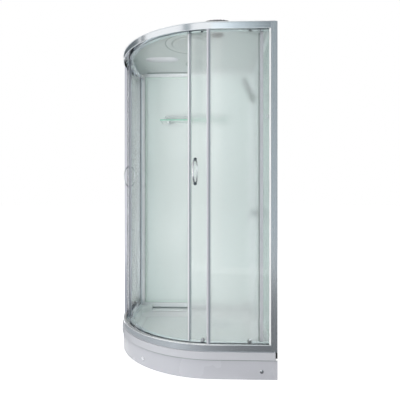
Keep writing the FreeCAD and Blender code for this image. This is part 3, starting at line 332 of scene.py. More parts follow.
def bow_metal_painted_reflection(name, light, dark, rough, middle, half_span):
    """Plated metal with a painted reflection that darkens towards the two ends of an upright bow, with ((z -
    middle) / half span)^2.
    """
    material, tree, shader = new_material(name)
    height = add(tree, "ShaderNodeSeparateXYZ", {0: object_point(tree, PLAIN)}).outputs["Z"]
    away = math_node(tree, "DIVIDE", math_node(tree, "SUBTRACT", height, middle), half_span)
    shade = math_node(tree, "MINIMUM", math_node(tree, "MULTIPLY", away, away), 1.0)
    shader.inputs["Metallic"].default_value = 1.0
    tree.links.new(two_tones(tree, shade, light, dark), shader.inputs["Base Color"])
    tree.links.new(ranged(tree, shade, rough, rough + METAL_SPREAD), shader.inputs["Roughness"])
    return material


def zinc(name):
    """A zinc coat, its flakes in tone and gloss."""
    material, tree, shader = new_material(name)
    flakes = place_group(tree, SPANGLE)
    shader.inputs["Metallic"].default_value = 0.9
    tree.links.new(two_tones(tree, flakes["Tone"], ZINC_DARK, ZINC_LIGHT), shader.inputs["Base Color"])
    tree.links.new(ranged(tree, flakes["Tone"], 0.3, 0.5), shader.inputs["Roughness"])
    return material


def glass(name, tint, light_through, rough, spread, depth, coat=0.0):
    """Tinted glass. Shadow rays pass through it tinted, so that the light of the lamps reaches the inside."""
    material, tree, shader = new_material(name)
    grain = place_group(tree, GRAIN, Fine=1600.0, Broad=4.0)
    water = place_group(tree, WATER, Spots=40.0, Runs=18.0)
    dark = tuple(GLASS_DRIFT * value for value in tint)
    shader.inputs["Transmission Weight"].default_value = 1.0
    shader.inputs["IOR"].default_value = 1.45
    shader.inputs["Coat Weight"].default_value = coat
    shader.inputs["Coat Roughness"].default_value = 0.03
    tree.links.new(two_tones(tree, grain["Tone"], dark, tint), shader.inputs["Base Color"])
    tree.links.new(ranged(tree, water["Mask"], rough, rough + spread), shader.inputs["Roughness"])
    relief(tree, shader, grain["Height"], GLASS_RELIEF, depth)
    shadow = add(tree, "ShaderNodeLightPath").outputs["Is Shadow Ray"]
    clear = add(tree, "ShaderNodeBsdfTransparent", {"Color": (*light_through, 1)})
    mix = add(tree, "ShaderNodeMixShader", {0: shadow, 1: shader.outputs[0], 2: clear.outputs[0]})
    tree.links.new(mix.outputs[0], tree.nodes["Material Output"].inputs["Surface"])
    return material


# Each finish's builder, then its tones, its roughness and what else the builder takes
FINISH_ROWS = {
    "white_acrylic": (moulded, (0.80, 0.80, 0.83), (0.76, 0.76, 0.80), 0.2),
    # The roof, the rose, the ceiling's edge and the sealant at the walls' feet: white acrylic darkened and
    # greened, a painted shade
    "roof_acrylic": (moulded, (0.7, 0.735, 0.73), (0.685, 0.72, 0.715), 0.3),
    # The tray: painted shade, a darker lilac tone, on its lip, and a near-white basin
    "tray_acrylic": (tray_skin_painted_shade, (0.54, 0.55, 0.585), (0.87, 0.9, 0.9), 0.22),
    "basin_acrylic": (wet_skin, (0.9, 0.93, 0.93), (0.88, 0.91, 0.91), 0.2),
    # The skirt: white acrylic darkened to a lilac grey, a painted shade
    "skirt_acrylic": (moulded, (0.515, 0.525, 0.565), (0.5, 0.51, 0.55), 0.24),
    "painted_steel": (sprayed, (0.30, 0.31, 0.32), (0.26, 0.27, 0.28), 0.42),
    "black_rubber": (rubber, (0.035, 0.035, 0.036), (0.022, 0.022, 0.023), 0.6),
    "zinc_steel": (zinc,),
    "chrome": (polished, (0.84, 0.85, 0.87), (0.78, 0.79, 0.82), 0.05),
    # Darker chrome for the mixer, and much darker for the hand shower and its holder: painted dark
    # reflections
    "fitting_chrome": (polished, (0.46, 0.49, 0.5), (0.4, 0.43, 0.44), 0.1),
    "shower_chrome": (polished, (0.16, 0.19, 0.185), (0.12, 0.15, 0.145), 0.16),
    # The handle's bows: a painted reflection, light at the middle and painted shade towards the ends
    "bow_chrome": (bow_metal_painted_reflection, (0.88, 0.89, 0.91), (0.14, 0.17, 0.19), 0.05, HANDLE_LEVEL, HANDLE_HALF_SPAN),
    # Dark beads for the shadow lines under the tray's lip, by the trailing profiles and along the walls: a
    # painted shade
    "gasket": (rubber, (0.3, 0.34, 0.335), (0.25, 0.29, 0.285), 0.5),
    "panel_gasket": (rubber, (0.76, 0.85, 0.81), (0.73, 0.82, 0.78), 0.4),
    "grey_plastic": (moulded, (0.55, 0.56, 0.57), (0.5, 0.51, 0.52), 0.4),
    "satin_aluminium": (drawn_metal, (0.86, 0.89, 0.92), (0.8, 0.83, 0.86), 0.22, ALONG_Z),
    "rail_aluminium": (drawn_metal, (0.86, 0.89, 0.92), (0.8, 0.83, 0.86), 0.13, ROUND_Z),
    # The left end's profiles and post: a darker, lilac copy of the satin aluminium, painted shade
    "end_aluminium": (drawn_metal, (0.66, 0.665, 0.73), (0.61, 0.615, 0.68), 0.2, ALONG_Z),
    "frame_silver": (moulded, (0.92, 0.935, 0.955), (0.9, 0.915, 0.935), 0.24),
    "frame_aluminium": (polished, (0.9, 0.92, 0.925), (0.87, 0.89, 0.9), 0.12),
    "satin_glass": (glass, (0.965, 0.978, 0.976), (0.92, 0.955, 0.95), 0.16, 0.03, 0.00002, 1.0),
    # The glazing beads: white, a painted highlight for the bright line up each wall profile
    "opal": (moulded, (0.95, 0.965, 0.97), (0.93, 0.945, 0.95), 0.22),
    # The basin's cove and ledge: whiter than the basin, a painted highlight
    "gloss_white": (glossy, (0.97, 0.98, 0.99), (0.95, 0.965, 0.975), 0.16, 0.8),
    # The profiles' faces: a lit copy, a paler lit copy and a shaded copy of one silver, painted light and
    # shade
    "lead_silver": (moulded, (0.76, 0.765, 0.785), (0.74, 0.745, 0.765), 0.3),
    "post_silver": (moulded, (0.56, 0.555, 0.6), (0.545, 0.54, 0.585), 0.3),
    "shade_silver": (moulded, (0.27, 0.3, 0.335), (0.255, 0.285, 0.32), 0.35),
    # The rings under the ceiling: darker than the ceiling, a painted shade
    "ring_acrylic": (moulded, (0.5, 0.545, 0.535), (0.485, 0.53, 0.52), 0.4),
    "glass_edge": (glossy, (0.36, 0.68, 0.54), (0.3, 0.6, 0.47), 0.12, 0.5),
    "clear_seal": (glass, (0.86, 0.90, 0.89), (0.7, 0.74, 0.73), 0.3, 0.1, 0.0001),
    "wall_glass": (wet_skin, (0.775, 0.835, 0.822), (0.76, 0.822, 0.81), 0.2, PANEL_DEPTH, 0.25),
    # The side wall's panel: a darker copy of the back wall's panel, painted shade
    "side_glass": (wet_skin, (0.59, 0.7, 0.67), (0.575, 0.685, 0.655), 0.22, PANEL_DEPTH, 0.2),
    "dark_plastic": (moulded, (0.085, 0.087, 0.095), (0.06, 0.062, 0.07), 0.36),
    "clear_glass": (glass, (0.95, 0.985, 0.975), (0.92, 0.96, 0.95), 0.02, 0.05, 0.00001),
    "wheel_plastic": (moulded, (0.3, 0.31, 0.32), (0.26, 0.27, 0.28), 0.3),
}
FINISHES = {name: build(name, *values) for name, (build, *values) in FINISH_ROWS.items()}

# Nodes that take another finish than the one their record slot names
OWN_FINISHES = {
    "top_rail": "rail_aluminium",
    "bottom_rail": "rail_aluminium",
    # A darker lip: painted shade
    "tray": "tray_acrylic",
    # Darkened: painted shade
    "skirt": "skirt_acrylic",
    # Darkened: painted shade
    "roof": "roof_acrylic",
    "side_wall_frame": "frame_silver",
    # Darker than the back panel: painted shade
    "side_wall_panel": "side_glass",
    "back_wall_frame": "frame_silver",
    "corner_post": "frame_silver",
    # The left end's darker aluminium: painted shade
    "post_left": "end_aluminium",
    "left_door_lead_profile": "end_aluminium",
    "left_door_trail_profile": "end_aluminium",
    # Darkened chrome: a painted dark reflection
    "handset_holder": "shower_chrome",
}

SMOOTH_ANGLE = math.radians(24)


def make_smoothing():
    """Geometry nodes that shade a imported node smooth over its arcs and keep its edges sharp."""
    tree = bpy.data.node_groups.new("smooth_arcs", "GeometryNodeTree")
    tree.interface.new_socket("Geometry", in_out="INPUT", socket_type="NodeSocketGeometry")
    tree.interface.new_socket("Geometry", in_out="OUTPUT", socket_type="NodeSocketGeometry")
    start = add(tree, "NodeGroupInput")
    plain = add(tree, "GeometryNodeRemoveAttribute", {"Geometry": start.outputs[0], "Name": "custom_normal"})
    joined = add(tree, "GeometryNodeMergeByDistance", {"Geometry": plain.outputs[0], "Distance": 1e-5})
    smooth = add(tree, "GeometryNodeSetShadeSmooth", {"Geometry": joined.outputs[0], "Shade Smooth": True})
    angle = add(tree, "GeometryNodeInputMeshEdgeAngle")
    steep = add(tree, "FunctionNodeCompare", {0: angle.outputs["Unsigned Angle"], 1: SMOOTH_ANGLE})
    edges = add(
        tree,
        "GeometryNodeSetShadeSmooth",
        {"Geometry": smooth.outputs[0], "Selection": steep.outputs[0], "Shade Smooth": False},
        domain="EDGE",
    )
    add(tree, "NodeGroupOutput", {0: edges.outputs[0]})
    return tree


def finish_nodes():
    """Each node takes its own finish or that of its record slot, and is shaded smooth over its arcs."""
    smoothing = make_smoothing()
    for row in frame["record"]["subparts"]:
        node = NODES[row["node"]]
        finish = OWN_FINISHES.get(row["node"], row["material_slot"])
        node.data.materials.clear()
        node.data.materials.append(FINISHES[finish])
        node.modifiers.new("smooth_arcs", "NODES").node_group = smoothing


# Surfaces

MERGE = 1e-6
SHARP_ANGLE = math.radians(35)
UP = (0.0, 0.0, 1.0)


def unit(vectors):
    """Vectors brought to length 1."""
    return vectors / np.linalg.norm(vectors, axis=-1, keepdims=True)


def directions(turn):
    """Plane directions at angles from +X."""
    return np.stack((np.cos(turn), np.sin(turn)), axis=1)


def middle_of(node):
    """The middle of a node's box."""
    low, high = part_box(node)
    return np.array((low + high) / 2)


def grid_faces(rows, columns, wrap_rows=False, wrap_columns=False):
    """The four-cornered faces of a grid of points, closed on itself along either way where it wraps."""
    down = np.arange(rows if wrap_rows else rows - 1)
    right = np.arange(columns if wrap_columns else columns - 1)
    row, column = (part.ravel() for part in np.meshgrid(down, right, indexing="ij"))
    next_row = (row + 1) % rows
    next_column = (column + 1) % columns
    corners = (row * columns + column, row * columns + next_column)
    far_corners = (next_row * columns + next_column, next_row * columns + column)
    return np.stack(corners + far_corners, axis=1)


def side_vectors(axis):
    """Two unit vectors that stand square to an axis and to each other."""
    helper = UP if abs(axis[2]) < 0.9 else (1.0, 0.0, 0.0)
    first = unit(np.cross(helper, axis))
    return first, np.cross(axis, first)


def eased(corners, steps=5):
    """Corners given as (across, along, easing), each rounded by a parabola that starts an easing away.

    An easing is never longer than half of a side.
    """
    points = np.array([corner[:2] for corner in corners], float)
    share = np.linspace(0, 1, steps)[:, None]
    pieces = [points[:1]]
    for index in range(1, len(corners) - 1):
        before, here, after = points[index - 1 : index + 2]
        ends = []
        for other in (before, after):
            length = np.linalg.norm(other - here)
            ends.append(here + (other - here) * min(corners[index][2], 0.5 * length) / length)
        pieces.append((1 - share) ** 2 * ends[0] + 2 * share * (1 - share) * here + share**2 * ends[1])
    pieces.append(points[-1:])
    return np.concatenate(pieces)


def turned(profile, place, axis, around=48, closed=False):
    """A profile of (radius, distance) rows turned about an axis: place + distance * axis + radius * spoke."""
    profile = np.asarray(profile, float)
    axis = np.asarray(axis, float)
    first, second = side_vectors(axis)
    angle = np.linspace(0, 2 * np.pi, around, endpoint=False)[:, None]
    spokes = np.cos(angle) * first + np.sin(angle) * second
    points = np.asarray(place) + profile[:, 1, None, None] * axis + profile[:, 0, None, None] * spokes
    return points.reshape(-1, 3), grid_faces(len(profile), around, wrap_rows=closed, wrap_columns=True)


def oval(half_width, half_depth, count=20):
    """A closed oval section: (half_width * cos, half_depth * sin), one for each row of the half sizes."""
    angle = np.linspace(0, 2 * np.pi, count, endpoint=False)
    half_width = np.asarray(half_width, float)[..., None]
    half_depth = np.asarray(half_depth, float)[..., None]
    return np.stack((half_width * np.cos(angle), half_depth * np.sin(angle)), axis=-1)


def swept(path, across, upward, section, closed=False):
    """A section carried along a path: path + s * across + t * upward. Open ends close on their middles."""
    section = np.broadcast_to(section, (len(path),) + section.shape[-2:])
    across = np.broadcast_to(across, path.shape)
    upward = np.broadcast_to(upward, path.shape)
    points = path[:, None] + section[..., :1] * across[:, None] + section[..., 1:] * upward[:, None]
    if not closed:
        ends = points[[0, -1]].mean(axis=1, keepdims=True) + np.zeros_like(points[:1])
        points = np.concatenate((ends[:1], points, ends[1:]))
    rows, columns = points.shape[:2]
    return points.reshape(-1, 3), grid_faces(rows, columns, wrap_rows=closed, wrap_columns=True)


def at_level(flat, level):
    """Plane points lifted to a level, or plane directions with level 0."""
    return np.column_stack((flat, np.full(len(flat), level)))


def swept_level(line, across, level, section, closed=False):
    """A section carried along a plane line at a level, upright, with its first axis across the line."""
    return swept(at_level(line, level), at_level(across, 0.0), UP, section, closed)


def copies(surface, centres):
    """The same surface set at many centres."""
    points, faces = surface
    centres = np.asarray(centres, float)
    starts = np.arange(len(centres)) * len(points)
    all_points = (centres[:, None] + points).reshape(-1, 3)
    return all_points, (starts[:, None, None] + faces).reshape(-1, faces.shape[1])


def threaded(place, axis, radius, length, pitch, depth, around=24):
    """A screw thread: the radius falls by the depth along a triangle wave of distance / pitch - turn."""
    first, second = side_vectors(np.asarray(axis, float))
    rows = int(4 * length / pitch) + 1
    distance, angle = np.meshgrid(
        np.linspace(0, length, rows), np.linspace(0, 2 * np.pi, around, endpoint=False), indexing="ij"
    )
    wave = np.abs(2 * ((distance / pitch - angle / (2 * np.pi)) % 1) - 1)
    reach = radius - depth * wave
    reach[[0, -1]] = 0
    spokes = np.cos(angle)[..., None] * first + np.sin(angle)[..., None] * second
    points = np.asarray(place) + distance[..., None] * np.asarray(axis) + reach[..., None] * spokes
    return points.reshape(-1, 3), grid_faces(rows, around, wrap_columns=True)


def nozzle_rings(spacing, rings, share):
    """Plane centres on rings about the origin: ring k has 6 k places, at k times the spacing."""
    rows = []
    for ring in range(1, rings + 1):
        angle = 2 * np.pi * (np.arange(6 * ring) + share * ring) / (6 * ring)
        rows.append(ring * spacing * directions(angle))
    return np.concatenate(rows)


def place_piece(name, surfaces, slot, body="cabin", stands_for=None, finish=None):
    """Joins surfaces into one piece, doubles merged and faces outwards, and lets it ride on its body."""
    starts = np.cumsum([0] + [len(points) for points, faces in surfaces])
    points = np.concatenate([points for points, faces in surfaces])
    faces = [face for (_, rows), start in zip(surfaces, starts) for face in (rows + start).tolist()]
    mesh = bpy.data.meshes.new(name)
    mesh.from_pydata(points, [], faces)
    work = bmesh.new()
    work.from_mesh(mesh)
    bmesh.ops.remove_doubles(work, verts=work.verts, dist=MERGE)
    bmesh.ops.recalc_face_normals(work, faces=work.faces)
    work.to_mesh(mesh)
    work.free()
    mesh.shade_smooth()
    mesh.set_sharp_from_angle(angle=SHARP_ANGLE)
    mesh.materials.append(FINISHES[finish or slot])
    piece = bpy.data.objects.new(name, mesh)
    bpy.context.scene.collection.objects.link(piece)
    if stands_for:
        body = NODES[stands_for]["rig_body"]
        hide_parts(stands_for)
    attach(piece, body)


# The front's outline

FRONT_STEPS = 49


def front_line(inset, stop):
    """The front at an inset from the lip, from the right wall round to the left one, with outward directions.

    Straight from x = stop to the arc's centre, a quarter turn about (ARC, ARC), straight back to y = stop.
    """
    outward = directions(np.linspace(-np.pi / 2, -np.pi, FRONT_STEPS))
    arc = ARC + (LIP_RADIUS - inset) * outward
    line = np.concatenate(([(stop, inset - SIDE)], arc, [(inset - SIDE, stop)]))
    outward = np.concatenate((outward[:1], outward, outward[-1:]))
    return line, outward


def front_bead(inset, level, half_depth, half_height, stop):
    """A rounded bead that follows the front at a level."""
    line, outward = front_line(inset, stop)
    return swept_level(line, outward, level, oval(half_depth, half_height, 12))


RAIL_INSET = 0.008
RAIL_STOP = 0.464
TOP_LIP_HALF = 0.002
BOTTOM_LIP_HALF = 0.0036
BOTTOM_LIP_DROP = 0.0034
STRIP_INSET = 0.0185
STRIP_STOP = 0.1
STRIP_DROP = 0.0016
STRIP_HALF = (0.0075, 0.0012)
SKIRT_INSET = 0.006
SKIRT_TOP = 0.1088
SEAM_HALF = (0.0012, 0.0016)


def make_rail_beads():
    """Rolled lips on the two rails, a strip in the bottom rail's channel, and a dark seam bead under the
    tray's lip that paints the lip's shadow.
    """
    top_low, top_high = (corner[2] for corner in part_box("top_rail"))
    bottom_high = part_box("bottom_rail")[1][2]
    beads = (
        ("top_rail_lip", top_low + TOP_LIP_HALF, TOP_LIP_HALF, "rail_aluminium"),
        ("top_rail_crown", top_high - TOP_LIP_HALF, TOP_LIP_HALF, "rail_aluminium"),
        ("bottom_rail_lip", bottom_high - BOTTOM_LIP_DROP, BOTTOM_LIP_HALF, "frame_aluminium"),
    )
    for name, level, half_height, finish in beads:
        bead = front_bead(RAIL_INSET, level, half_height, half_height, RAIL_STOP)
        place_piece(name, [bead], "satin_aluminium", finish=finish)
    strip = front_bead(STRIP_INSET, bottom_high - STRIP_DROP, *STRIP_HALF, STRIP_STOP)
    place_piece("bottom_rail_strip", [strip], "grey_plastic")
    # A dark bead that paints the lip's shadow on the skirt
    seam = front_bead(SKIRT_INSET, SKIRT_TOP, *SEAM_HALF, SIDE)
    place_piece("skirt_seam_painted_shadow", [seam], "black_rubber", finish="gasket")


# Doors: handles, rollers and the faces of their profiles

HANDLE_REACH = 0.034
GLASS_HALF = 0.0025
PROFILE_DEPTH = 0.016


def door_centre(side):
    """The middle of an open door's arc: the front's own centre turned about the door's pole."""
    joint = next(row for row in frame["joints"] if row["name"] == side + "_door_travel")
    turn = -joint["axis"][2] * math.radians(joint["range_deg"][1])
    pole = np.array(joint["pos_m"][:2])
    away = np.array((ARC, ARC)) - pole
    cosine, sine = math.cos(turn), math.sin(turn)
    return pole + np.array((cosine * away[0] - sine * away[1], sine * away[0] + cosine * away[1]))


def outward_at(node, side):
    """A node's middle, and the direction there away from the middle of the door's arc."""
    middle = middle_of(node)
    return middle, np.append(unit(middle[:2] - door_centre(side)), 0.0)


BOW_HALF_WIDTH = 0.0044
BOW_SWELL = 0.0016
BOW_HALF_DEPTH = 0.0034
BOW_FOOT = ((0, 0, 0), (0.0094, 0, 0.0006), (0.0094, 0.003, 0.002), (0.0062, 0.008, 0.002), (0, 0.009, 0))


def make_handle(side):
    """Two bows, one on each face of the glass, on round feet that the bolts draw together.

    A bow runs on a half oval: height -cos t, reach sin t. It is a strap that widens to its middle.
    """
    door = side + "_door"
    node = door + "_handle"
    middle, outward = outward_at(node, side)
    sideways = np.cross(UP, outward)
    turn = np.linspace(0, np.pi, 41)[:, None]
    width = BOW_HALF_WIDTH + BOW_SWELL * np.sin(turn[:, 0]) ** 2
    section = oval(width, np.full(len(turn), BOW_HALF_DEPTH))
    rise = np.array((0.0, 0.0, HANDLE_HALF_SPAN))
    for part, face, stands_for in (("outer", 1.0, node), ("inner", -1.0, None)):
        away = face * outward
        reach = HANDLE_REACH * away
        start = middle + GLASS_HALF * away
        bow = start + np.sin(turn) * reach - np.cos(turn) * rise
        tangent = unit(np.cos(turn) * reach + np.sin(turn) * rise)
        surfaces = [swept(bow, sideways, np.cross(tangent, sideways), section)]
        for end in (-rise, rise):
            surfaces.append(turned(eased(BOW_FOOT), start + end, away, around=32))
        name = "%s_%s_bow" % (door, part)
        # Its finish paints a reflection on the bow: light at the middle, dark towards the ends
        place_piece(name, surfaces, "chrome", body=door, stands_for=stands_for, finish="bow_chrome")


WHEEL_HALF = 0.003
WHEEL_WEB = 0.0017
WHEEL_RIM = 0.01
WHEEL_PROFILE = (
    (0.0031, WHEEL_HALF),
    (0.0048, WHEEL_HALF),
    (0.0052, WHEEL_WEB),
    (0.0076, WHEEL_WEB),
    (0.0081, WHEEL_HALF),
    (WHEEL_RIM - 0.0004, WHEEL_HALF),
    (WHEEL_RIM, 0.0026),
    (WHEEL_RIM, 0.0019),
    (WHEEL_RIM - 0.0011, 0.0007),
    (WHEEL_RIM - 0.0013, 0.0),
)


def make_wheel(node, side):
    """A roller with a rounded tread groove, two thin webs and a raised hub: half a profile, mirrored."""
    middle, outward = outward_at(node, side)
    inner_half = [(radius, -distance) for radius, distance in WHEEL_PROFILE[:-1]]
    wheel = turned(inner_half + list(WHEEL_PROFILE[::-1]), middle, outward, around=40, closed=True)
    place_piece(node + "_roller", [wheel], "wheel_plastic", stands_for=node)


LEAD_HALF = 0.0078
TRAIL_HALF = 0.0096
POST_HALF = 0.0102
FACE_RISE = 0.0025
FACE_BACK = 0.001
FACE_LOW_GAP = 0.002
FACE_TOP_GAP = 0.012
GASKET_SHIFT = 0.013
GASKET_HALF = 0.0038
GASKET_RISE = 0.0022
# Painted light and shade: the leading profile's lit face, the trailing profile with the post's lit face, and
# the shaded faces
FACE_SKINS = {
    "right": ("lead_silver", "post_silver", "shade_silver"),
    "left": ("end_aluminium", "end_aluminium", "end_aluminium"),
}
# The directions at a front half's straight end: outwards, and along it to the doors
FRONT_AXES = {
    "right": ((0.0, -1.0, 0.0), (-1.0, 0.0, 0.0)),
    "left": ((-1.0, 0.0, 0.0), (0.0, -1.0, 0.0)),
}


def upright_path(flat, low, high):
    """A straight path up from a plane point, from one level to another."""
    return np.array(((*flat, low), (*flat, high)))


def upright_bead(flat, outward, half_width, depth, low, high):
    """A rounded face up a profile: a half oval on its outer side and a flat back."""
    face = np.array((half_width, depth)) * directions(np.linspace(0, np.pi, 15))
    section = np.concatenate((face, ((-half_width, -FACE_BACK), (half_width, -FACE_BACK))))
    return swept(upright_path(flat, low, high), np.cross(UP, outward), outward, section)


def place_faces(name, middle, outward, toward, half_width, levels, finishes, body):
    """Two rounded faces side by side on a profile's outer side, the first one nearer the leading edge, each
    in a finish of painted light and shade.
    """
    for part, share, finish in zip(("lit", "shaded"), (0.5, -0.5), finishes):
        flat = (middle + 0.5 * PROFILE_DEPTH * outward + share * half_width * toward)[:2]
        bead = upright_bead(flat, outward, half_width / 2, FACE_RISE, *levels)
        place_piece("%s_%s_face" % (name, part), [bead], "satin_aluminium", body=body, finish=finish)


def make_profile_faces():
    """Rounded faces in painted light and shade on the doors' profiles and on the posts, and by each trailing
    profile a dark bead that paints a line of shade.
    """
    for side in ("right", "left"):
        door = side + "_door"
        lead, lead_out = outward_at(door + "_lead_profile", side)
        trail, trail_out = outward_at(door + "_trail_profile", side)
        toward = unit(lead - trail)
        low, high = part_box(door + "_lead_profile")
        levels = (low[2] + FACE_LOW_GAP, high[2] - FACE_TOP_GAP)
        skins = FACE_SKINS[side]
        place_faces(door + "_lead", lead, lead_out, toward, LEAD_HALF, levels, (skins[0], skins[2]), door)
        place_faces(door + "_trail", trail, trail_out, toward, TRAIL_HALF, levels, (skins[1], skins[1]), door)
        # A dark bead that paints the line of shade by the trailing profile
        flat = (trail + GLASS_HALF * trail_out + GASKET_SHIFT * toward)[:2]
        gasket = upright_bead(flat, trail_out, GASKET_HALF, GASKET_RISE, *levels)
        place_piece(door + "_trail_gasket", [gasket], "black_rubber", body=door, finish="gasket")
        post = "post_" + side
        low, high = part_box(post)
        outward, along = (np.array(axis) for axis in FRONT_AXES[side])
        place_faces(post, middle_of(post), outward, along, POST_HALF, (low[2], high[2]), skins[1:], "cabin")


def make_doors():
    for side in ("right", "left"):
        make_handle(side)
        for level in ("top", "bottom"):
            for place in ("front", "rear"):
                make_wheel("%s_wheel_%s_%s" % (side, level, place), side)


# Shower set

HANDSET_LEAN = math.radians(20)
HANDSET_PLACE = np.array((0.412, 0.06, 1.73))
GRIP_AXIS = np.array((-math.sin(HANDSET_LEAN), 0.0, math.cos(HANDSET_LEAN)))
SPRAY_AXIS = np.array((-math.cos(HANDSET_LEAN), 0.0, -math.sin(HANDSET_LEAN)))
HEAD_LIFT = 0.1
NOZZLE = ((0, 0.0022), (0.0008, 0.002), (0.0014, 0.0008), (0.0018, -0.0004))
GRIP = (
    (0, -0.047, 0), (0.0105, -0.047, 0.002), (0.0113, -0.038, 0.003), (0.0113, 0.0135, 0.002),
    (0.0136, 0.019, 0.006), (0.0128, 0.05, 0.02), (0.0105, 0.072, 0.01), (0, 0.078, 0),
)
HEAD = (
    (0, -0.005, 0), (0.024, -0.005, 0.018), (0.042, 0.005, 0.008), (0.042, 0.0135, 0.003),
    (0.0385, 0.017, 0.002), (0.0365, 0.0152, 0.0005), (0, 0.0152, 0),
)
SPRAY_DISC = ((0, 0.0158), (0.0355, 0.0158), (0.0362, 0.0152), (0.0362, 0.0145), (0, 0.0145))
NOZZLE_SEAT = 0.0162
HEAD_RINGS = 4
HEAD_SPACING = 0.0075
NECK_START = 0.05
NECK_LENGTH = 0.035
NECK_BOW = 0.005
NECK_HALF = 0.0126
NECK_SPREAD = 0.012
NECK_THIN = 0.0046


def make_hand_shower():
    """A turned grip that swells above its holder, a neck that flattens, and a head with a spray face.

    At share s the neck is half + spread * s^2 wide and half - thin * s deep, and it bows out by bow * s^2.
    """
    head_place = HANDSET_PLACE + HEAD_LIFT * GRIP_AXIS
    share = np.linspace(0, 1, 15)[:, None]
    neck = HANDSET_PLACE + (NECK_START + NECK_LENGTH * share) * GRIP_AXIS + NECK_BOW * share**2 * SPRAY_AXIS
    section = oval(NECK_HALF + NECK_SPREAD * share[:, 0] ** 2, NECK_HALF - NECK_THIN * share[:, 0], 28)
    surfaces = [
        turned(eased(GRIP), HANDSET_PLACE, GRIP_AXIS),
        turned(eased(HEAD), head_place, SPRAY_AXIS, around=64),
        swept(neck, (0.0, 1.0, 0.0), SPRAY_AXIS, section),
    ]
    # Darkened chrome: a painted dark reflection
    place_piece("hand_shower_shell", surfaces, "chrome", stands_for="hand_shower", finish="shower_chrome")
    first, second = side_vectors(SPRAY_AXIS)
    flat = nozzle_rings(HEAD_SPACING, HEAD_RINGS, 0.5)
    centres = head_place + NOZZLE_SEAT * SPRAY_AXIS + flat[:, :1] * first + flat[:, 1:] * second
    disc = turned(SPRAY_DISC, head_place, SPRAY_AXIS)
    nozzles = copies(turned(NOZZLE, (0, 0, 0), SPRAY_AXIS, around=8), centres)
    place_piece("spray_face", [disc, nozzles], "grey_plastic", body="hand_shower")


ROSE_RINGS = 6
ROSE_SPACING = 0.0155
ROSE_SINK = 0.0015
ROSE_NOZZLE_SEAT = 0.0011


def make_overhead_shower():
    """A shallow dish under the ceiling's boss, with rings of soft nozzles in its sunk face."""
    low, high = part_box("overhead_shower")
    middle = middle_of("overhead_shower")
    radius = (high[0] - low[0]) / 2
    half = (high[2] - low[2]) / 2
    dish = eased(
        (
            (0, half, 0),
            (radius - 0.002, half, 0.002),
            (radius, 0.0, 0.0015),
            (radius - 0.002, -half, 0.0015),
            (radius - 0.007, -half, 0.001),
            (radius - 0.009, ROSE_SINK - half, 0.001),
            (0, ROSE_SINK - half, 0),
        )
    )
    rose = turned(dish, middle, UP, around=96)
    # In the ceiling's darkened finish, a painted shade
    place_piece("rose_dish", [rose], "white_acrylic", stands_for="overhead_shower", finish="roof_acrylic")
    flat = nozzle_rings(ROSE_SPACING, ROSE_RINGS, 0.25)
    centres = at_level(middle[:2] + flat, middle[2] - half + ROSE_NOZZLE_SEAT)
    nozzles = copies(turned(NOZZLE, (0, 0, 0), (0, 0, -1), around=8), centres)
    place_piece("rose_nozzles", [nozzles], "grey_plastic")


# Mixer and hook

INWARD = np.array((-1.0, 0.0, 0.0))
PANEL_FACE = 0.48
FITTING_LINE = 0.06
MIXER_LEVEL = 0.885
LEVER_LEVEL = 0.915
DIVERTER_LEVEL = 0.847
NIPPLE_HALF_SPACING = 0.03
MIXER_PLATE = (
    (0, 0, 0), (0.075, 0, 0.0005), (0.075, 0.003, 0.002), (0.071, 0.007, 0.006), (0.05, 0.008, 0.01),
    (0, 0.008, 0),
)
MIXER_BARREL = (
    (0, 0.004, 0), (0.0285, 0.0075, 0.001), (0.0285, 0.012, 0.002), (0.025, 0.016, 0.004),
    (0.025, 0.04, 0.0015), (0, 0.04, 0),
)
SPINDLE = ((0, 0.006), (0.004, 0.006), (0.004, 0.0195), (0.003, 0.0205), (0, 0.0205))
SHOULDER = ((0, 0), (0.012, 0), (0.012, 0.0076), (0.0114, 0.008), (0, 0.008))
THREAD_START = 0.0078
INLET_THREAD = {"radius": 0.0105, "length": 0.0122, "pitch": 0.0018, "depth": 0.001}


def on_side_wall(level, along=FITTING_LINE):
    return np.array((PANEL_FACE, along, level))


def make_mixer_body():
    """A dished round plate, a barrel with a raised collar, the diverter's spindle and two threaded inlets."""
    surfaces = [
        turned(eased(MIXER_PLATE), on_side_wall(MIXER_LEVEL), INWARD, around=96),
        turned(eased(MIXER_BARREL), on_side_wall(LEVER_LEVEL), INWARD),
        turned(SPINDLE, on_side_wall(DIVERTER_LEVEL), INWARD, around=24),
    ]
    for offset in (-NIPPLE_HALF_SPACING, NIPPLE_HALF_SPACING):
        place = on_side_wall(MIXER_LEVEL, FITTING_LINE + offset)
        surfaces.append(turned(SHOULDER, place, -INWARD, around=24))
        surfaces.append(threaded(place - THREAD_START * INWARD, -INWARD, **INLET_THREAD))
    name = "mixer_plate_and_barrel"
    # Darkened chrome: a painted dark reflection
    place_piece(name, surfaces, "chrome", stands_for="mixer_body", finish="fitting_chrome")


LEVER_PIVOT = np.array((0.4187, FITTING_LINE, LEVER_LEVEL))
LEVER_BEND = ((0.004, 0, 0), (-0.022, 0.004, 0.008), (-0.031, -0.004, 0.014), (-0.0315, -0.084, 0))
LEVER_STEPS = 60
LEVER_HALF = (0.0068, 0.0056)
LEVER_SPREAD = 0.0022
LEVER_THIN = 0.0018
TIP_START = 0.93
TIP_SHARE = 0.07
KNUCKLE = ((0, -0.007, 0), (0.007, -0.007, 0.0012), (0.007, 0.007, 0.0012), (0, 0.007, 0))


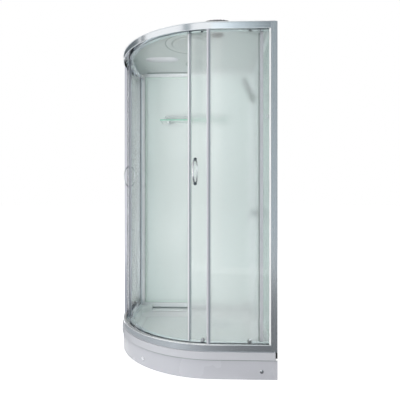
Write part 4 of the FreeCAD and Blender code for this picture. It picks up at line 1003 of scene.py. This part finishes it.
def make_mixer_lever():
    """A flat lever that leaves its pivot, bends over and hangs. It widens with s^2, and its tip is round."""
    bend = eased(LEVER_BEND, steps=12)
    lengths = np.append(0, np.cumsum(np.linalg.norm(np.diff(bend, axis=0), axis=1)))
    share = np.linspace(0, lengths[-1], LEVER_STEPS)
    out = np.interp(share, lengths, bend[:, 0])
    line = np.stack((out, np.zeros_like(out), np.interp(share, lengths, bend[:, 1])), axis=1)
    share /= lengths[-1]
    tangent = unit(np.gradient(line, axis=0))
    tip = np.sqrt(1 - ((share - TIP_START) / TIP_SHARE).clip(0, 1) ** 2)
    half_width = LEVER_HALF[0] + LEVER_SPREAD * share**2
    section = oval(half_width * tip, (LEVER_HALF[1] - LEVER_THIN * share) * tip)
    across = np.array((0.0, 1.0, 0.0))
    lever = swept(LEVER_PIVOT + line, across, np.cross(tangent, across), section)
    knuckle = turned(eased(KNUCKLE), LEVER_PIVOT, across, around=32)
    place_piece("mixer_lever_arm", [lever, knuckle], "chrome", stands_for="mixer_lever")


KNOB = (
    (0, 0.0208, 0), (0.0041, 0.0208, 0.0002), (0.0041, 0.0083, 0.0004), (0.013, 0.0083, 0.001),
    (0.015, 0.011, 0.002), (0.015, 0.029, 0.003), (0.0125, 0.033, 0.002), (0, 0.0333, 0),
)
KNOB_FLUTES = 12
FLUTE_DEPTH = 0.05
FLUTE_START = 0.012
FLUTE_RUN = 0.003
BAR_SEAT = 0.0332
BAR_REACH = 0.0095
BAR_END = 0.0098
BAR_HALF = (0.0022, 0.0012)


def make_diverter_knob():
    """A fluted knob: its radius dips with cos(flutes * turn). A bar on its face shows its setting."""
    points, faces = turned(eased(KNOB), (0, 0, 0), INWARD, around=96)
    turn = np.arctan2(points[:, 2], points[:, 1])
    radius = np.hypot(points[:, 1], points[:, 2])
    outer = np.clip((radius - FLUTE_START) / FLUTE_RUN, 0, 1)
    dip = FLUTE_DEPTH * outer * (0.5 + 0.5 * np.cos(KNOB_FLUTES * turn))
    points[:, 1:] *= (1 - dip)[:, None]
    place = on_side_wall(DIVERTER_LEVEL)
    reach = np.linspace(-BAR_REACH, BAR_REACH, 15)[:, None]
    bar = place + BAR_SEAT * INWARD + reach * UP
    half_width = BAR_HALF[0] * np.sqrt(1 - (reach[:, 0] / BAR_END) ** 2)
    section = oval(half_width, np.full(15, BAR_HALF[1]), 12)
    surfaces = [(points + place, faces), swept(bar, (0.0, 1.0, 0.0), INWARD, section)]
    place_piece("diverter_grip", surfaces, "chrome", stands_for="diverter_knob")


HOOK = (
    (0, 0, 0), (0.014, 0, 0.0004), (0.014, 0.003, 0.0015), (0.007, 0.0055, 0.003), (0.0046, 0.015, 0.008),
    (0.005, 0.028, 0.006), (0.011, 0.037, 0.005), (0.011, 0.0425, 0.003), (0.007, 0.046, 0.004),
    (0, 0.046, 0),
)


def make_robe_hook():
    """A turned hook: a domed base, a waisted stem and a knob with a rounded head."""
    low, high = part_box("robe_hook")
    place = np.array((high[0], (low[1] + high[1]) / 2, (low[2] + high[2]) / 2))
    hook = turned(eased(HOOK), place, INWARD)
    place_piece("robe_hook_turned", [hook], "chrome", stands_for="robe_hook")


# Ceiling and roof

CEILING = 2.038
LENS_MIDDLE = np.array((-0.228, 0.17))
LENS_HALF = (0.125, 0.044)
LENS_DEPTH = 0.012
# Rings under the ceiling: radius, drop, half width and half height
ROSE_EDGES = ((0.16, 0.004, 0.004, 0.0022), (0.118, 0.004, 0.0036, 0.002))
LAMP_PLACE = (0.0, 0.27)
LAMP_EDGE = (0.062, 0.0, 0.004, 0.004)
CORNER_STEPS = 25
FIELD_WALL = 0.43
FIELD_INSET = 0.1
FIELD_CORNER = 0.16
FIELD_EDGE = (0.007, 0.003)


def ring_bead(middle, radius, level, half_width, half_height, around=96):
    """A rounded ring at a level."""
    spokes = directions(np.linspace(0, 2 * np.pi, around, endpoint=False))
    line = np.asarray(middle) + radius * spokes
    return swept_level(line, spokes, level, oval(half_width, half_height, 12), closed=True)


def quadrant_line(inset, wall, corner):
    """The cabin's outline at an inset, with outward directions: the front's arc and three quarter turns."""
    far = wall - corner
    near = inset - SIDE + corner
    corners = (
        (ARC, ARC, LIP_RADIUS - inset, 180.0),
        (far, near, corner, 270.0),
        (far, far, corner, 0.0),
        (near, far, corner, 90.0),
    )
    lines = []
    spokes = []
    for across, along, radius, start in corners:
        spoke = directions(np.radians(np.linspace(start, start + 90.0, CORNER_STEPS)))
        lines.append(np.array((across, along)) + radius * spoke)
        spokes.append(spoke)
    return np.concatenate(lines), np.concatenate(spokes)


def make_ceiling_mouldings():
    """Mouldings under the roof: an edge round its field, rings round the rose, a small ring and a lens.

    The lens hangs from the ceiling by (1 - t^4) (1 - s^6) of its depth, and its half width falls with s^6.
    """
    s, t = np.meshgrid(np.linspace(-1, 1, 41), np.linspace(-1, 1, 13), indexing="ij")
    half_width = LENS_HALF[1] * (1 - s**6)
    across = LENS_MIDDLE[0] + LENS_HALF[0] * s
    along = LENS_MIDDLE[1] + half_width * t
    under = np.stack((across, along, CEILING - LENS_DEPTH * (1 - t**4) * (1 - s**6)), axis=-1)
    seat = np.stack((across, along, np.full_like(s, CEILING)), axis=-1)
    faces = grid_faces(41, 13)
    lens = [(under.reshape(-1, 3), faces), (seat.reshape(-1, 3), faces[:, ::-1])]
    place_piece("ceiling_lens", lens, "white_acrylic")
    rose = middle_of("overhead_shower")[:2]
    line, spokes = quadrant_line(FIELD_INSET, FIELD_WALL, FIELD_CORNER)
    rings = []
    for middle, edges in ((rose, ROSE_EDGES), (LAMP_PLACE, (LAMP_EDGE,))):
        for radius, drop, half_width, half_height in edges:
            rings.append(ring_bead(middle, radius, CEILING - drop, half_width, half_height))
    # The rings take a darker finish, a painted shade
    place_piece("ceiling_rings", rings, "white_acrylic", finish="ring_acrylic")
    edge = swept_level(line, spokes, CEILING, oval(*FIELD_EDGE, 12), closed=True)
    # In the ceiling's darkened finish, a painted shade
    place_piece("ceiling_field_edge", [edge], "white_acrylic", finish="roof_acrylic")


CAP_FINS = 36
FIN_FOOT = (0.1455, 0.0235)
FIN_HEAD = (0.1, 0.0495)
FIN_HALF = 0.0018
FIN_RISE = 0.004
GRILLE_DROP = 0.003
GRILLE_RINGS = (0.012, 0.022, 0.032)
GRILLE_RING = (0.0016, 0.0014)
GRILLE_BAR = (0.0014, 0.0014)
GRILLE_REACH = 0.043
GRILLE_BARS = 4


def make_roof_cap_fins():
    """Straight fins up the cap's slope, and a grille of rings and bars in its vent.

    At share s a fin stands rise * sqrt(1 - (2 s - 1)^4) off the slope.
    """
    low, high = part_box("roof_cap")
    middle = np.append(middle_of("roof_cap")[:2], low[2])
    share = np.linspace(0, 1, 9)[:, None]
    section = oval(np.full(9, FIN_HALF), FIN_RISE * np.sqrt(1 - (2 * share[:, 0] - 1) ** 4), 8)
    surfaces = []
    for spoke in at_level(directions(2 * np.pi * np.arange(CAP_FINS) / CAP_FINS), 0.0):
        foot, head = (middle + (0.0, 0.0, lift) + reach * spoke for reach, lift in (FIN_FOOT, FIN_HEAD))
        side = np.cross(UP, spoke)
        surfaces.append(swept(foot + share * (head - foot), side, np.cross(unit(head - foot), side), section))
    level = high[2] - GRILLE_DROP
    for radius in GRILLE_RINGS:
        surfaces.append(ring_bead(middle[:2], radius, level, *GRILLE_RING, around=48))
    for spoke in directions(np.pi * np.arange(GRILLE_BARS) / GRILLE_BARS):
        line = middle[:2] + np.linspace(-GRILLE_REACH, GRILLE_REACH, 9)[:, None] * spoke
        across = np.broadcast_to((-spoke[1], spoke[0]), line.shape)
        surfaces.append(swept_level(line, across, level, oval(*GRILLE_BAR, 8)))
    place_piece("roof_cap_fins", surfaces, "dark_plastic")


# Tray fittings

FEET = ((0.4, 0.4), (-0.4, 0.4), (0.4, -0.4), (-0.31, -0.15), (-0.15, -0.31))
STUD_THREAD = {"radius": 0.006, "pitch": 0.00175, "depth": 0.001}
LOCK_NUT = ((0, 0.028), (0.0108, 0.028), (0.012, 0.0288), (0.012, 0.0352), (0.0108, 0.036), (0, 0.036))


def make_foot_studs():
    """Threaded studs, each with a six-sided lock nut that is chamfered at both ends."""
    low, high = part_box("foot_studs")
    stud = threaded((0, 0, 0), UP, length=high[2] - low[2], around=20, **STUD_THREAD)
    nut = turned(LOCK_NUT, (0, 0, 0), UP, around=6)
    centres = at_level(np.array(FEET), low[2])
    surfaces = [copies(stud, centres), copies(nut, centres)]
    place_piece("threaded_studs", surfaces, "zinc_steel", stands_for="foot_studs")


WASTE_LID = (
    (0, 0, 0), (0.036, 0, 0.002), (0.036, 0.01, 0.0006), (0.0505, 0.01, 0.0008), (0.052, 0.0115, 0.0008),
    (0.052, 0.0125, 0.001), (0.046, 0.0146, 0.003), (0.0385, 0.0148, 0.0005), (0.0375, 0.0138, 0.0005),
    (0.035, 0.0138, 0.0005), (0.034, 0.0152, 0.0005), (0.016, 0.016, 0.008), (0, 0.016, 0),
)


def make_waste_cover():
    """A domed lid with a sunk ring and a turned-down edge, on a plug that hangs into the flange."""
    foot = np.append(middle_of("waste_cover")[:2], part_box("waste_cover")[0][2])
    lid = turned(eased(WASTE_LID), foot, UP, around=72)
    place_piece("waste_lid", [lid], "chrome", stands_for="waste_cover")


CAP_LEVEL = 0.048
CAP_LINE = 0.412
CAP_RADIUS = 0.0105
CAP_RIM = 0.0012
CAP_BULGE = 0.0028
ARC_CAP_TURN = math.radians(228)


def make_skirt_caps():
    """Domed screw caps on the skirt: each bulges by 1 - r^2 from a short rim."""
    share = np.linspace(0, 1, 9)
    dome = np.stack((CAP_RADIUS * share, CAP_RIM + CAP_BULGE * (1 - share**2)), axis=1)
    profile = np.concatenate((dome, ((CAP_RADIUS, 0.0), (0, 0.0))))
    turn = directions([ARC_CAP_TURN])[0]
    places = (
        ((CAP_LINE, SKIRT_INSET - SIDE), (0.0, -1.0)),
        ((SKIRT_INSET - SIDE, CAP_LINE), (-1.0, 0.0)),
        (ARC + (LIP_RADIUS - SKIRT_INSET) * turn, turn),
    )
    surfaces = [turned(profile, (*place, CAP_LEVEL), (*away, 0.0), around=32) for place, away in places]
    place_piece("skirt_cap_domes", surfaces, "chrome", stands_for="skirt_caps")


WALL_LINE = 0.466
BEAD_START = -0.345
FLOOR_LEVEL = 0.085
LEDGE_LEVEL = 0.124
LEDGE_START = -0.4
LEDGE_RISE = 0.005
BASIN_INSET = 0.084
BASIN_WALL = 0.419
BASIN_CORNER = 0.07
COVE_WIDTH = 0.05
COVE_HEIGHT = 0.03
COVE_SEAT = 0.002
NOSE_DROP = 0.003
NOSE_HALF = 0.004


def make_basin_mouldings():
    """A hollow cove round the basin's floor, an oval about (width, height), and a round nose on its ledge."""
    line, spokes = quadrant_line(BASIN_INSET, BASIN_WALL, BASIN_CORNER)
    turn = np.linspace(0, np.pi / 2, 13)
    hollow = np.stack((COVE_WIDTH * (1 - np.sin(turn)), COVE_HEIGHT * (1 - np.cos(turn))), axis=1)
    seat = ((-COVE_SEAT, COVE_HEIGHT), (-COVE_SEAT, -COVE_SEAT), (COVE_WIDTH, -COVE_SEAT))
    section = np.concatenate((hollow, seat))
    cove = swept_level(line, -spokes, FLOOR_LEVEL, section, closed=True)
    wall_side = slice(2 * CORNER_STEPS, 3 * CORNER_STEPS)
    ends = np.array(((BASIN_WALL, BEAD_START), (BEAD_START, BASIN_WALL)))
    nose_line = np.concatenate((ends[:1], line[wall_side], ends[1:]))
    nose_side = np.concatenate((((1.0, 0.0),), spokes[wall_side], ((0.0, 1.0),)))
    nose = swept_level(nose_line, nose_side, LEDGE_LEVEL - NOSE_DROP, oval(NOSE_HALF, NOSE_HALF, 16))
    # In a whiter finish, a painted highlight
    place_piece("basin_mouldings", [cove, nose], "white_acrylic", finish="gloss_white")


WALL_SIDES = np.array(((0.0, -1.0), (-1.0, -1.0), (-1.0, 0.0)))


def wall_run(start, wall, level, section):
    """A section carried along both walls at a level, through the room's corner, and square to them."""
    line = np.array(((start, wall), (wall, wall), (wall, start)))
    return swept_level(line, WALL_SIDES, level, section)


DRAIN = np.array((0.2, 0.2))
DRAIN_HALF = 0.06
FLOOR_CORNER = 0.05
FLOOR_RIPPLES = 22
RIPPLE_RISE = 0.0004
FLOOR_FALL = 0.001
SKIN_LIFT = 0.0006
SKIN_SINK = 0.001


def make_basin_floor():
    """A rippled floor skin that falls to the drain, and a skin on the ledge that rises to the walls.

    The floor runs on straight spokes from the drain's circle to the cove's edge. At share s of a spoke it
    lies lift + fall * s above the floor, with a ripple of rise * sin^2(pi * ripples * s).
    """
    line, _ = quadrant_line(BASIN_INSET + COVE_WIDTH, BASIN_WALL - COVE_WIDTH, FLOOR_CORNER)
    spokes = line - DRAIN
    inner = DRAIN + DRAIN_HALF * unit(spokes)
    share = np.linspace(0, 1, 8 * FLOOR_RIPPLES + 1)
    flat = inner + share[:, None, None] * (line - inner)
    rise = SKIN_LIFT + FLOOR_FALL * share + RIPPLE_RISE * np.sin(np.pi * FLOOR_RIPPLES * share) ** 2
    top = np.dstack((flat, np.broadcast_to((FLOOR_LEVEL + rise)[:, None], flat.shape[:2])))
    under = np.dstack((flat[[-1, 0]], np.full((2, len(line)), FLOOR_LEVEL - SKIN_SINK)))
    points = np.concatenate((top, under))
    rows, columns = points.shape[:2]
    skin = (points.reshape(-1, 3), grid_faces(rows, columns, wrap_rows=True, wrap_columns=True))
    middle = (BASIN_WALL + WALL_LINE) / 2
    half = (WALL_LINE - BASIN_WALL) / 2
    section = np.array(((-half, -SKIN_SINK), (half, -SKIN_SINK), (half, SKIN_LIFT), (-half, LEDGE_RISE)))
    ledge = wall_run(LEDGE_START, middle, LEDGE_LEVEL, section)
    place_piece("basin_floor_skin", [skin], "white_acrylic", finish="basin_acrylic")
    # The ledge in a whiter finish, a painted highlight
    place_piece("tray_ledge_skin", [ledge], "white_acrylic", finish="gloss_white")


# Shelf, glazing and walls

SHELF_EDGE_HALF = 0.0022
SHELF_EDGE_LAP = 0.0008


def make_shelf_edge():
    """The pale green rounded edge of the glass shelf, on its front and its two ends."""
    low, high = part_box("shelf_glass")
    flat = np.array(((low[0], high[1]), (low[0], low[1]), (high[0], low[1]), (high[0], high[1])))
    across = np.array(((-1.0, 1.0), (-1.0, -1.0), (1.0, -1.0), (1.0, 1.0)))
    section = oval(SHELF_EDGE_HALF, (high[2] - low[2]) / 2 + SHELF_EDGE_LAP, 16)
    level = (low[2] + high[2]) / 2
    edge = swept_level(flat, across, level, section)
    place_piece("shelf_edge", [edge], "clear_glass", finish="glass_edge")


GLAZING_BEAD = (0.4604, -0.489)
GLAZING_HALF = 0.0052


def make_glazing_beads():
    """A rounded bead up each wall profile, where it holds the fixed pane; its white paints the bright line
    there as a highlight.
    """
    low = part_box("bottom_rail")[1][2]
    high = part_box("top_rail")[0][2]
    section = oval(GLAZING_HALF, GLAZING_HALF, 24)
    surfaces = []
    for flat in (GLAZING_BEAD, GLAZING_BEAD[::-1]):
        surfaces.append(swept(upright_path(flat, low, high), (1.0, 0.0, 0.0), (0.0, 1.0, 0.0), section))
    place_piece("glazing_beads", surfaces, "clear_seal", finish="opal")


PROFILE_BACK = -0.442
FRAME_BAR = 0.032
FRAME_LOW = 0.14
SEALANT_HALF = (0.005, 0.004)
FOOT_HALF = (0.003, 0.0054)
HEAD_HALF = (0.004, 0.004)
HEAD_DROP = 0.002
PANEL_GASKET_HALF = (0.008, 0.003)
EDGE_GASKET = (0.0022, 0.003)
EDGE_GAP = 0.02


def wall_bead(level, half_sizes, start):
    """A rounded bead along both walls at a level."""
    return wall_run(start, WALL_LINE, level, oval(*half_sizes, 16))


def panel_gasket():
    """A flat seal inside the back wall's frame, mitred at its four corners."""
    left, right = PROFILE_BACK + FRAME_BAR, WALL_LINE - FRAME_BAR
    low, high = FRAME_LOW + FRAME_BAR, CEILING - FRAME_BAR
    corners = ((left, low), (right, low), (right, high), (left, high))
    path = np.array([(across, PANEL_FACE, up) for across, up in corners])
    across = np.array(((1.0, 0.0, 1.0), (-1.0, 0.0, 1.0), (-1.0, 0.0, -1.0), (1.0, 0.0, -1.0)))
    section = oval(*PANEL_GASKET_HALF, 16) + (PANEL_GASKET_HALF[0], 0.0)
    return swept(path, across, (0.0, -1.0, 0.0), section, closed=True)


def make_wall_lines():
    """Sealant where the walls meet the tray, in the ceiling's finish of painted shade, gaskets round the
    panels, and dark beads at the walls' feet, heads and front edges that paint the shadow lines there.
    """
    sealant = wall_bead(LEDGE_LEVEL, SEALANT_HALF, BEAD_START)
    place_piece("wall_foot_sealant", [sealant], "white_acrylic", finish="roof_acrylic")
    points, faces = panel_gasket()
    both_panels = [(points, faces), (points[:, (1, 0, 2)], faces[:, ::-1])]
    place_piece("panel_gaskets", both_panels, "black_rubber", finish="panel_gasket")
    # Dark beads that paint the shadow lines at the walls' feet, heads and front edges
    surfaces = [
        wall_bead(FRAME_LOW - FOOT_HALF[1], FOOT_HALF, BEAD_START),
        wall_bead(CEILING - HEAD_DROP, HEAD_HALF, PROFILE_BACK + FRAME_BAR),
    ]
    edges = (((PROFILE_BACK, WALL_LINE), (0.0, -1.0, 0.0)), ((WALL_LINE, PROFILE_BACK), (-1.0, 0.0, 0.0)))
    levels = (FRAME_LOW + EDGE_GAP, CEILING - FRAME_BAR)
    for flat, outward in edges:
        surfaces.append(upright_bead(flat, np.array(outward), *EDGE_GASKET, *levels))
    place_piece("wall_gaskets_painted_shade", surfaces, "black_rubber", finish="gasket")


def make_pieces():
    make_rail_beads()
    make_doors()
    make_profile_faces()
    make_hand_shower()
    make_overhead_shower()
    make_mixer_body()
    make_mixer_lever()
    make_diverter_knob()
    make_robe_hook()
    make_ceiling_mouldings()
    make_roof_cap_fins()
    make_foot_studs()
    make_waste_cover()
    make_skirt_caps()
    make_basin_mouldings()
    make_basin_floor()
    make_shelf_edge()
    make_glazing_beads()
    make_wall_lines()


# Studio

FLOOR_HALF = 60.0
AMBIENT = 0.35
FLOOR_GLOW = 0.72
# Name, place, target, width, height and power
LAMPS = (
    ("key", (-2.7, -3.3, 1.7), (-0.1, -0.1, 1.6), 2.2, 1.2, 28.0),
    ("front_high", (-1.2, -2.3, 5.2), (0.0, 0.1, 0.1), 2.6, 1.8, 60.0),
    ("front_low", (-1.6, -3.5, 0.35), (0.1, 0.5, 2.3), 2.6, 0.6, 66.0),
    ("back", (3.0, 3.0, 2.8), (0.2, 0.2, 1.1), 2.6, 2.6, 60.0),
)
# Name, place, target, cone in degrees, radius and power
SPOT = ("upper_wall", (-1.3, -3.6, 1.3), (0.05, 0.48, 1.78), 17.0, 0.3, 130.0)

# Grey cards that stand round the cabin and show only in gloss: azimuths in degrees, heights, and the tones of
# the four corners in the order low start, low stop, high start, high stop
CARD_RING = 4.0
CARDS = (
    ("card_left_back", 88.0, 172.0, 1.6, 5.0, (0.12, 0.21, 0.12, 0.21)),
    ("card_left_edge", 177.0, 184.0, 1.6, 5.0, (0.22, 0.22, 0.22, 0.22)),
    ("card_front_slot", 238.0, 247.0, 2.2, 5.0, (0.4, 0.44, 0.4, 0.44)),
    ("card_front_right", 271.0, 284.0, 0.02, 5.0, (0.95, 0.8, 1.15, 0.1)),
    ("card_right", 284.0, 380.0, 0.02, 5.0, (0.26, 0.16, 0.24, 0.16)),
)
# Name, sides, distance, heights and tones
STRIP = ("strip", (0.114, 0.274), -3.9, (0.02, 3.44), (1.6, 0.9, 2.6, 1.5))
# Name, azimuths, reach and tones
FLOOR_CARDS = (
    ("card_floor_left", 150.0, 238.0, (0.6, 3.6), (0.4, 0.56, 0.4, 0.56)),
    ("card_floor_front", 238.0, 286.0, (0.6, 3.6), (0.62, 0.27, 0.62, 0.18)),
    ("card_floor_right", 286.0, 345.0, (0.6, 3.6), (0.25, 0.06, 0.16, 0.05)),
)
CARD_COLOUR = (0.82, 0.94, 1.0)
STRIP_COLOUR = (0.97, 0.99, 1.0)
FLOOR_CARD_COLOUR = (0.91, 0.955, 1.0)
FLOOR_CARD_LEVEL = 0.002


def aim(item, target):
    """Turn a lamp so that its -Z axis points at the target."""
    away = np.array(item.location) - np.array(target)
    item.rotation_euler = (
        math.atan2(math.hypot(away[0], away[1]), away[2]),
        0,
        math.atan2(away[0], -away[1]),
    )


def background_rays(tree):
    """1 for the rays that show the white background: those of the camera, of gloss and through glass."""
    path = add(tree, "ShaderNodeLightPath")
    seen = math_node(tree, "MAXIMUM", path.outputs["Is Camera Ray"], path.outputs["Is Glossy Ray"])
    return math_node(tree, "MAXIMUM", seen, path.outputs["Is Transmission Ray"])


def set_world():
    world = bpy.data.worlds.new("studio")
    world.use_nodes = True
    bpy.context.scene.world = world
    tree = world.node_tree
    background = tree.nodes["Background"]
    background.inputs["Color"].default_value = (1, 1, 1, 1)
    tree.links.new(ranged(tree, background_rays(tree), AMBIENT, 1.0), background.inputs["Strength"])


def place_lamp(name, data, place, target, power):
    """A lamp that lights surfaces and doesn't show in gloss or through glass."""
    data.energy = power
    lamp = bpy.data.objects.new(name, data)
    lamp.location = place
    lamp.visible_glossy = False
    lamp.visible_transmission = False
    aim(lamp, target)
    bpy.context.scene.collection.objects.link(lamp)


def set_lamps():
    """Four soft boxes, and a soft spot on the upper part of the back wall."""
    for name, place, target, width, height, power in LAMPS:
        data = bpy.data.lights.new(name, "AREA")
        data.shape = "RECTANGLE"
        data.size = width
        data.size_y = height
        place_lamp(name, data, place, target, power)
    name, place, target, cone, radius, power = SPOT
    data = bpy.data.lights.new(name, "SPOT")
    data.spot_size = math.radians(cone)
    data.spot_blend = 1.0
    data.shadow_soft_size = radius
    place_lamp(name, data, place, target, power)


def stage_sheet(name, points, material):
    """A stage surface through a grid of points."""
    rows, columns = points.shape[:2]
    mesh = bpy.data.meshes.new(name)
    mesh.from_pydata(points.reshape(-1, 3), [], grid_faces(rows, columns))
    mesh.materials.append(material)
    sheet = bpy.data.objects.new(name, mesh)
    bpy.context.scene.collection.objects.link(sheet)
    return sheet


def card_material(name, colour):
    """A glow that takes its strength from the card's tone attribute."""
    material = bpy.data.materials.new(name)
    material.use_nodes = True
    tree = material.node_tree
    tree.nodes.remove(tree.nodes["Principled BSDF"])
    tone = add(tree, "ShaderNodeAttribute", attribute_name="tone")
    glow = add(tree, "ShaderNodeEmission", {"Color": (*colour, 1), "Strength": tone.outputs["Fac"]})
    tree.links.new(glow.outputs[0], tree.nodes["Material Output"].inputs["Surface"])
    return material


def set_cards():
    """Sheets on a ring, on a plane and on the floor. A tone is blended from its corners, first across."""
    grey = card_material("card", CARD_COLOUR)
    bright = card_material("strip", STRIP_COLOUR)
    low_grey = card_material("floor_card", FLOOR_CARD_COLOUR)
    across, along = np.meshgrid(np.linspace(0, 1, 25), np.linspace(0, 1, 25))

    def card(name, points, tones, material=grey):
        low = tones[0] + (tones[1] - tones[0]) * across
        high = tones[2] + (tones[3] - tones[2]) * across
        sheet = stage_sheet(name, points, material)
        tone = sheet.data.attributes.new("tone", "FLOAT", "POINT")
        tone.data.foreach_set("value", (low + (high - low) * along).ravel())
        sheet.visible_camera = False
        sheet.visible_diffuse = False
        sheet.visible_transmission = False
        sheet.visible_shadow = False

    for name, first, last, low, high, tones in CARDS:
        angle = np.radians(first + (last - first) * across)
        level = low + (high - low) * along
        card(name, np.dstack((CARD_RING * np.cos(angle), CARD_RING * np.sin(angle), level)), tones)

    name, (left, right), back, (low, high), tones = STRIP
    level = low + (high - low) * along
    card(name, np.dstack((left + (right - left) * across, np.full_like(level, back), level)), tones, bright)

    for name, first, last, (near, far), tones in FLOOR_CARDS:
        angle = np.radians(first + (last - first) * across)
        reach = near + (far - near) * along
        level = np.full_like(reach, FLOOR_CARD_LEVEL)
        card(name, np.dstack((reach * np.cos(angle), reach * np.sin(angle), level)), tones, low_grey)


def set_floor():
    """A pale floor that takes the cabin's shadow and is white to the rays that show the background."""
    material, tree, shader = new_material("floor")
    shader.inputs["Base Color"].default_value = (0.86, 0.86, 0.86, 1)
    shader.inputs["Roughness"].default_value = 0.9
    shader.inputs["Specular IOR Level"].default_value = 0.0
    shader.inputs["Emission Color"].default_value = (1, 1, 1, 1)
    glow = math_node(tree, "MULTIPLY", background_rays(tree), FLOOR_GLOW)
    tree.links.new(glow, shader.inputs["Emission Strength"])
    half = np.array((-FLOOR_HALF, FLOOR_HALF))
    across, along = np.meshgrid(half, half)
    stage_sheet("floor", np.dstack((across, along, np.zeros_like(across))), material)


set_camera()
set_world()
set_lamps()
set_cards()
set_floor()
finish_nodes()
make_pieces()

bpy.context.scene.view_settings.view_transform = "Standard"
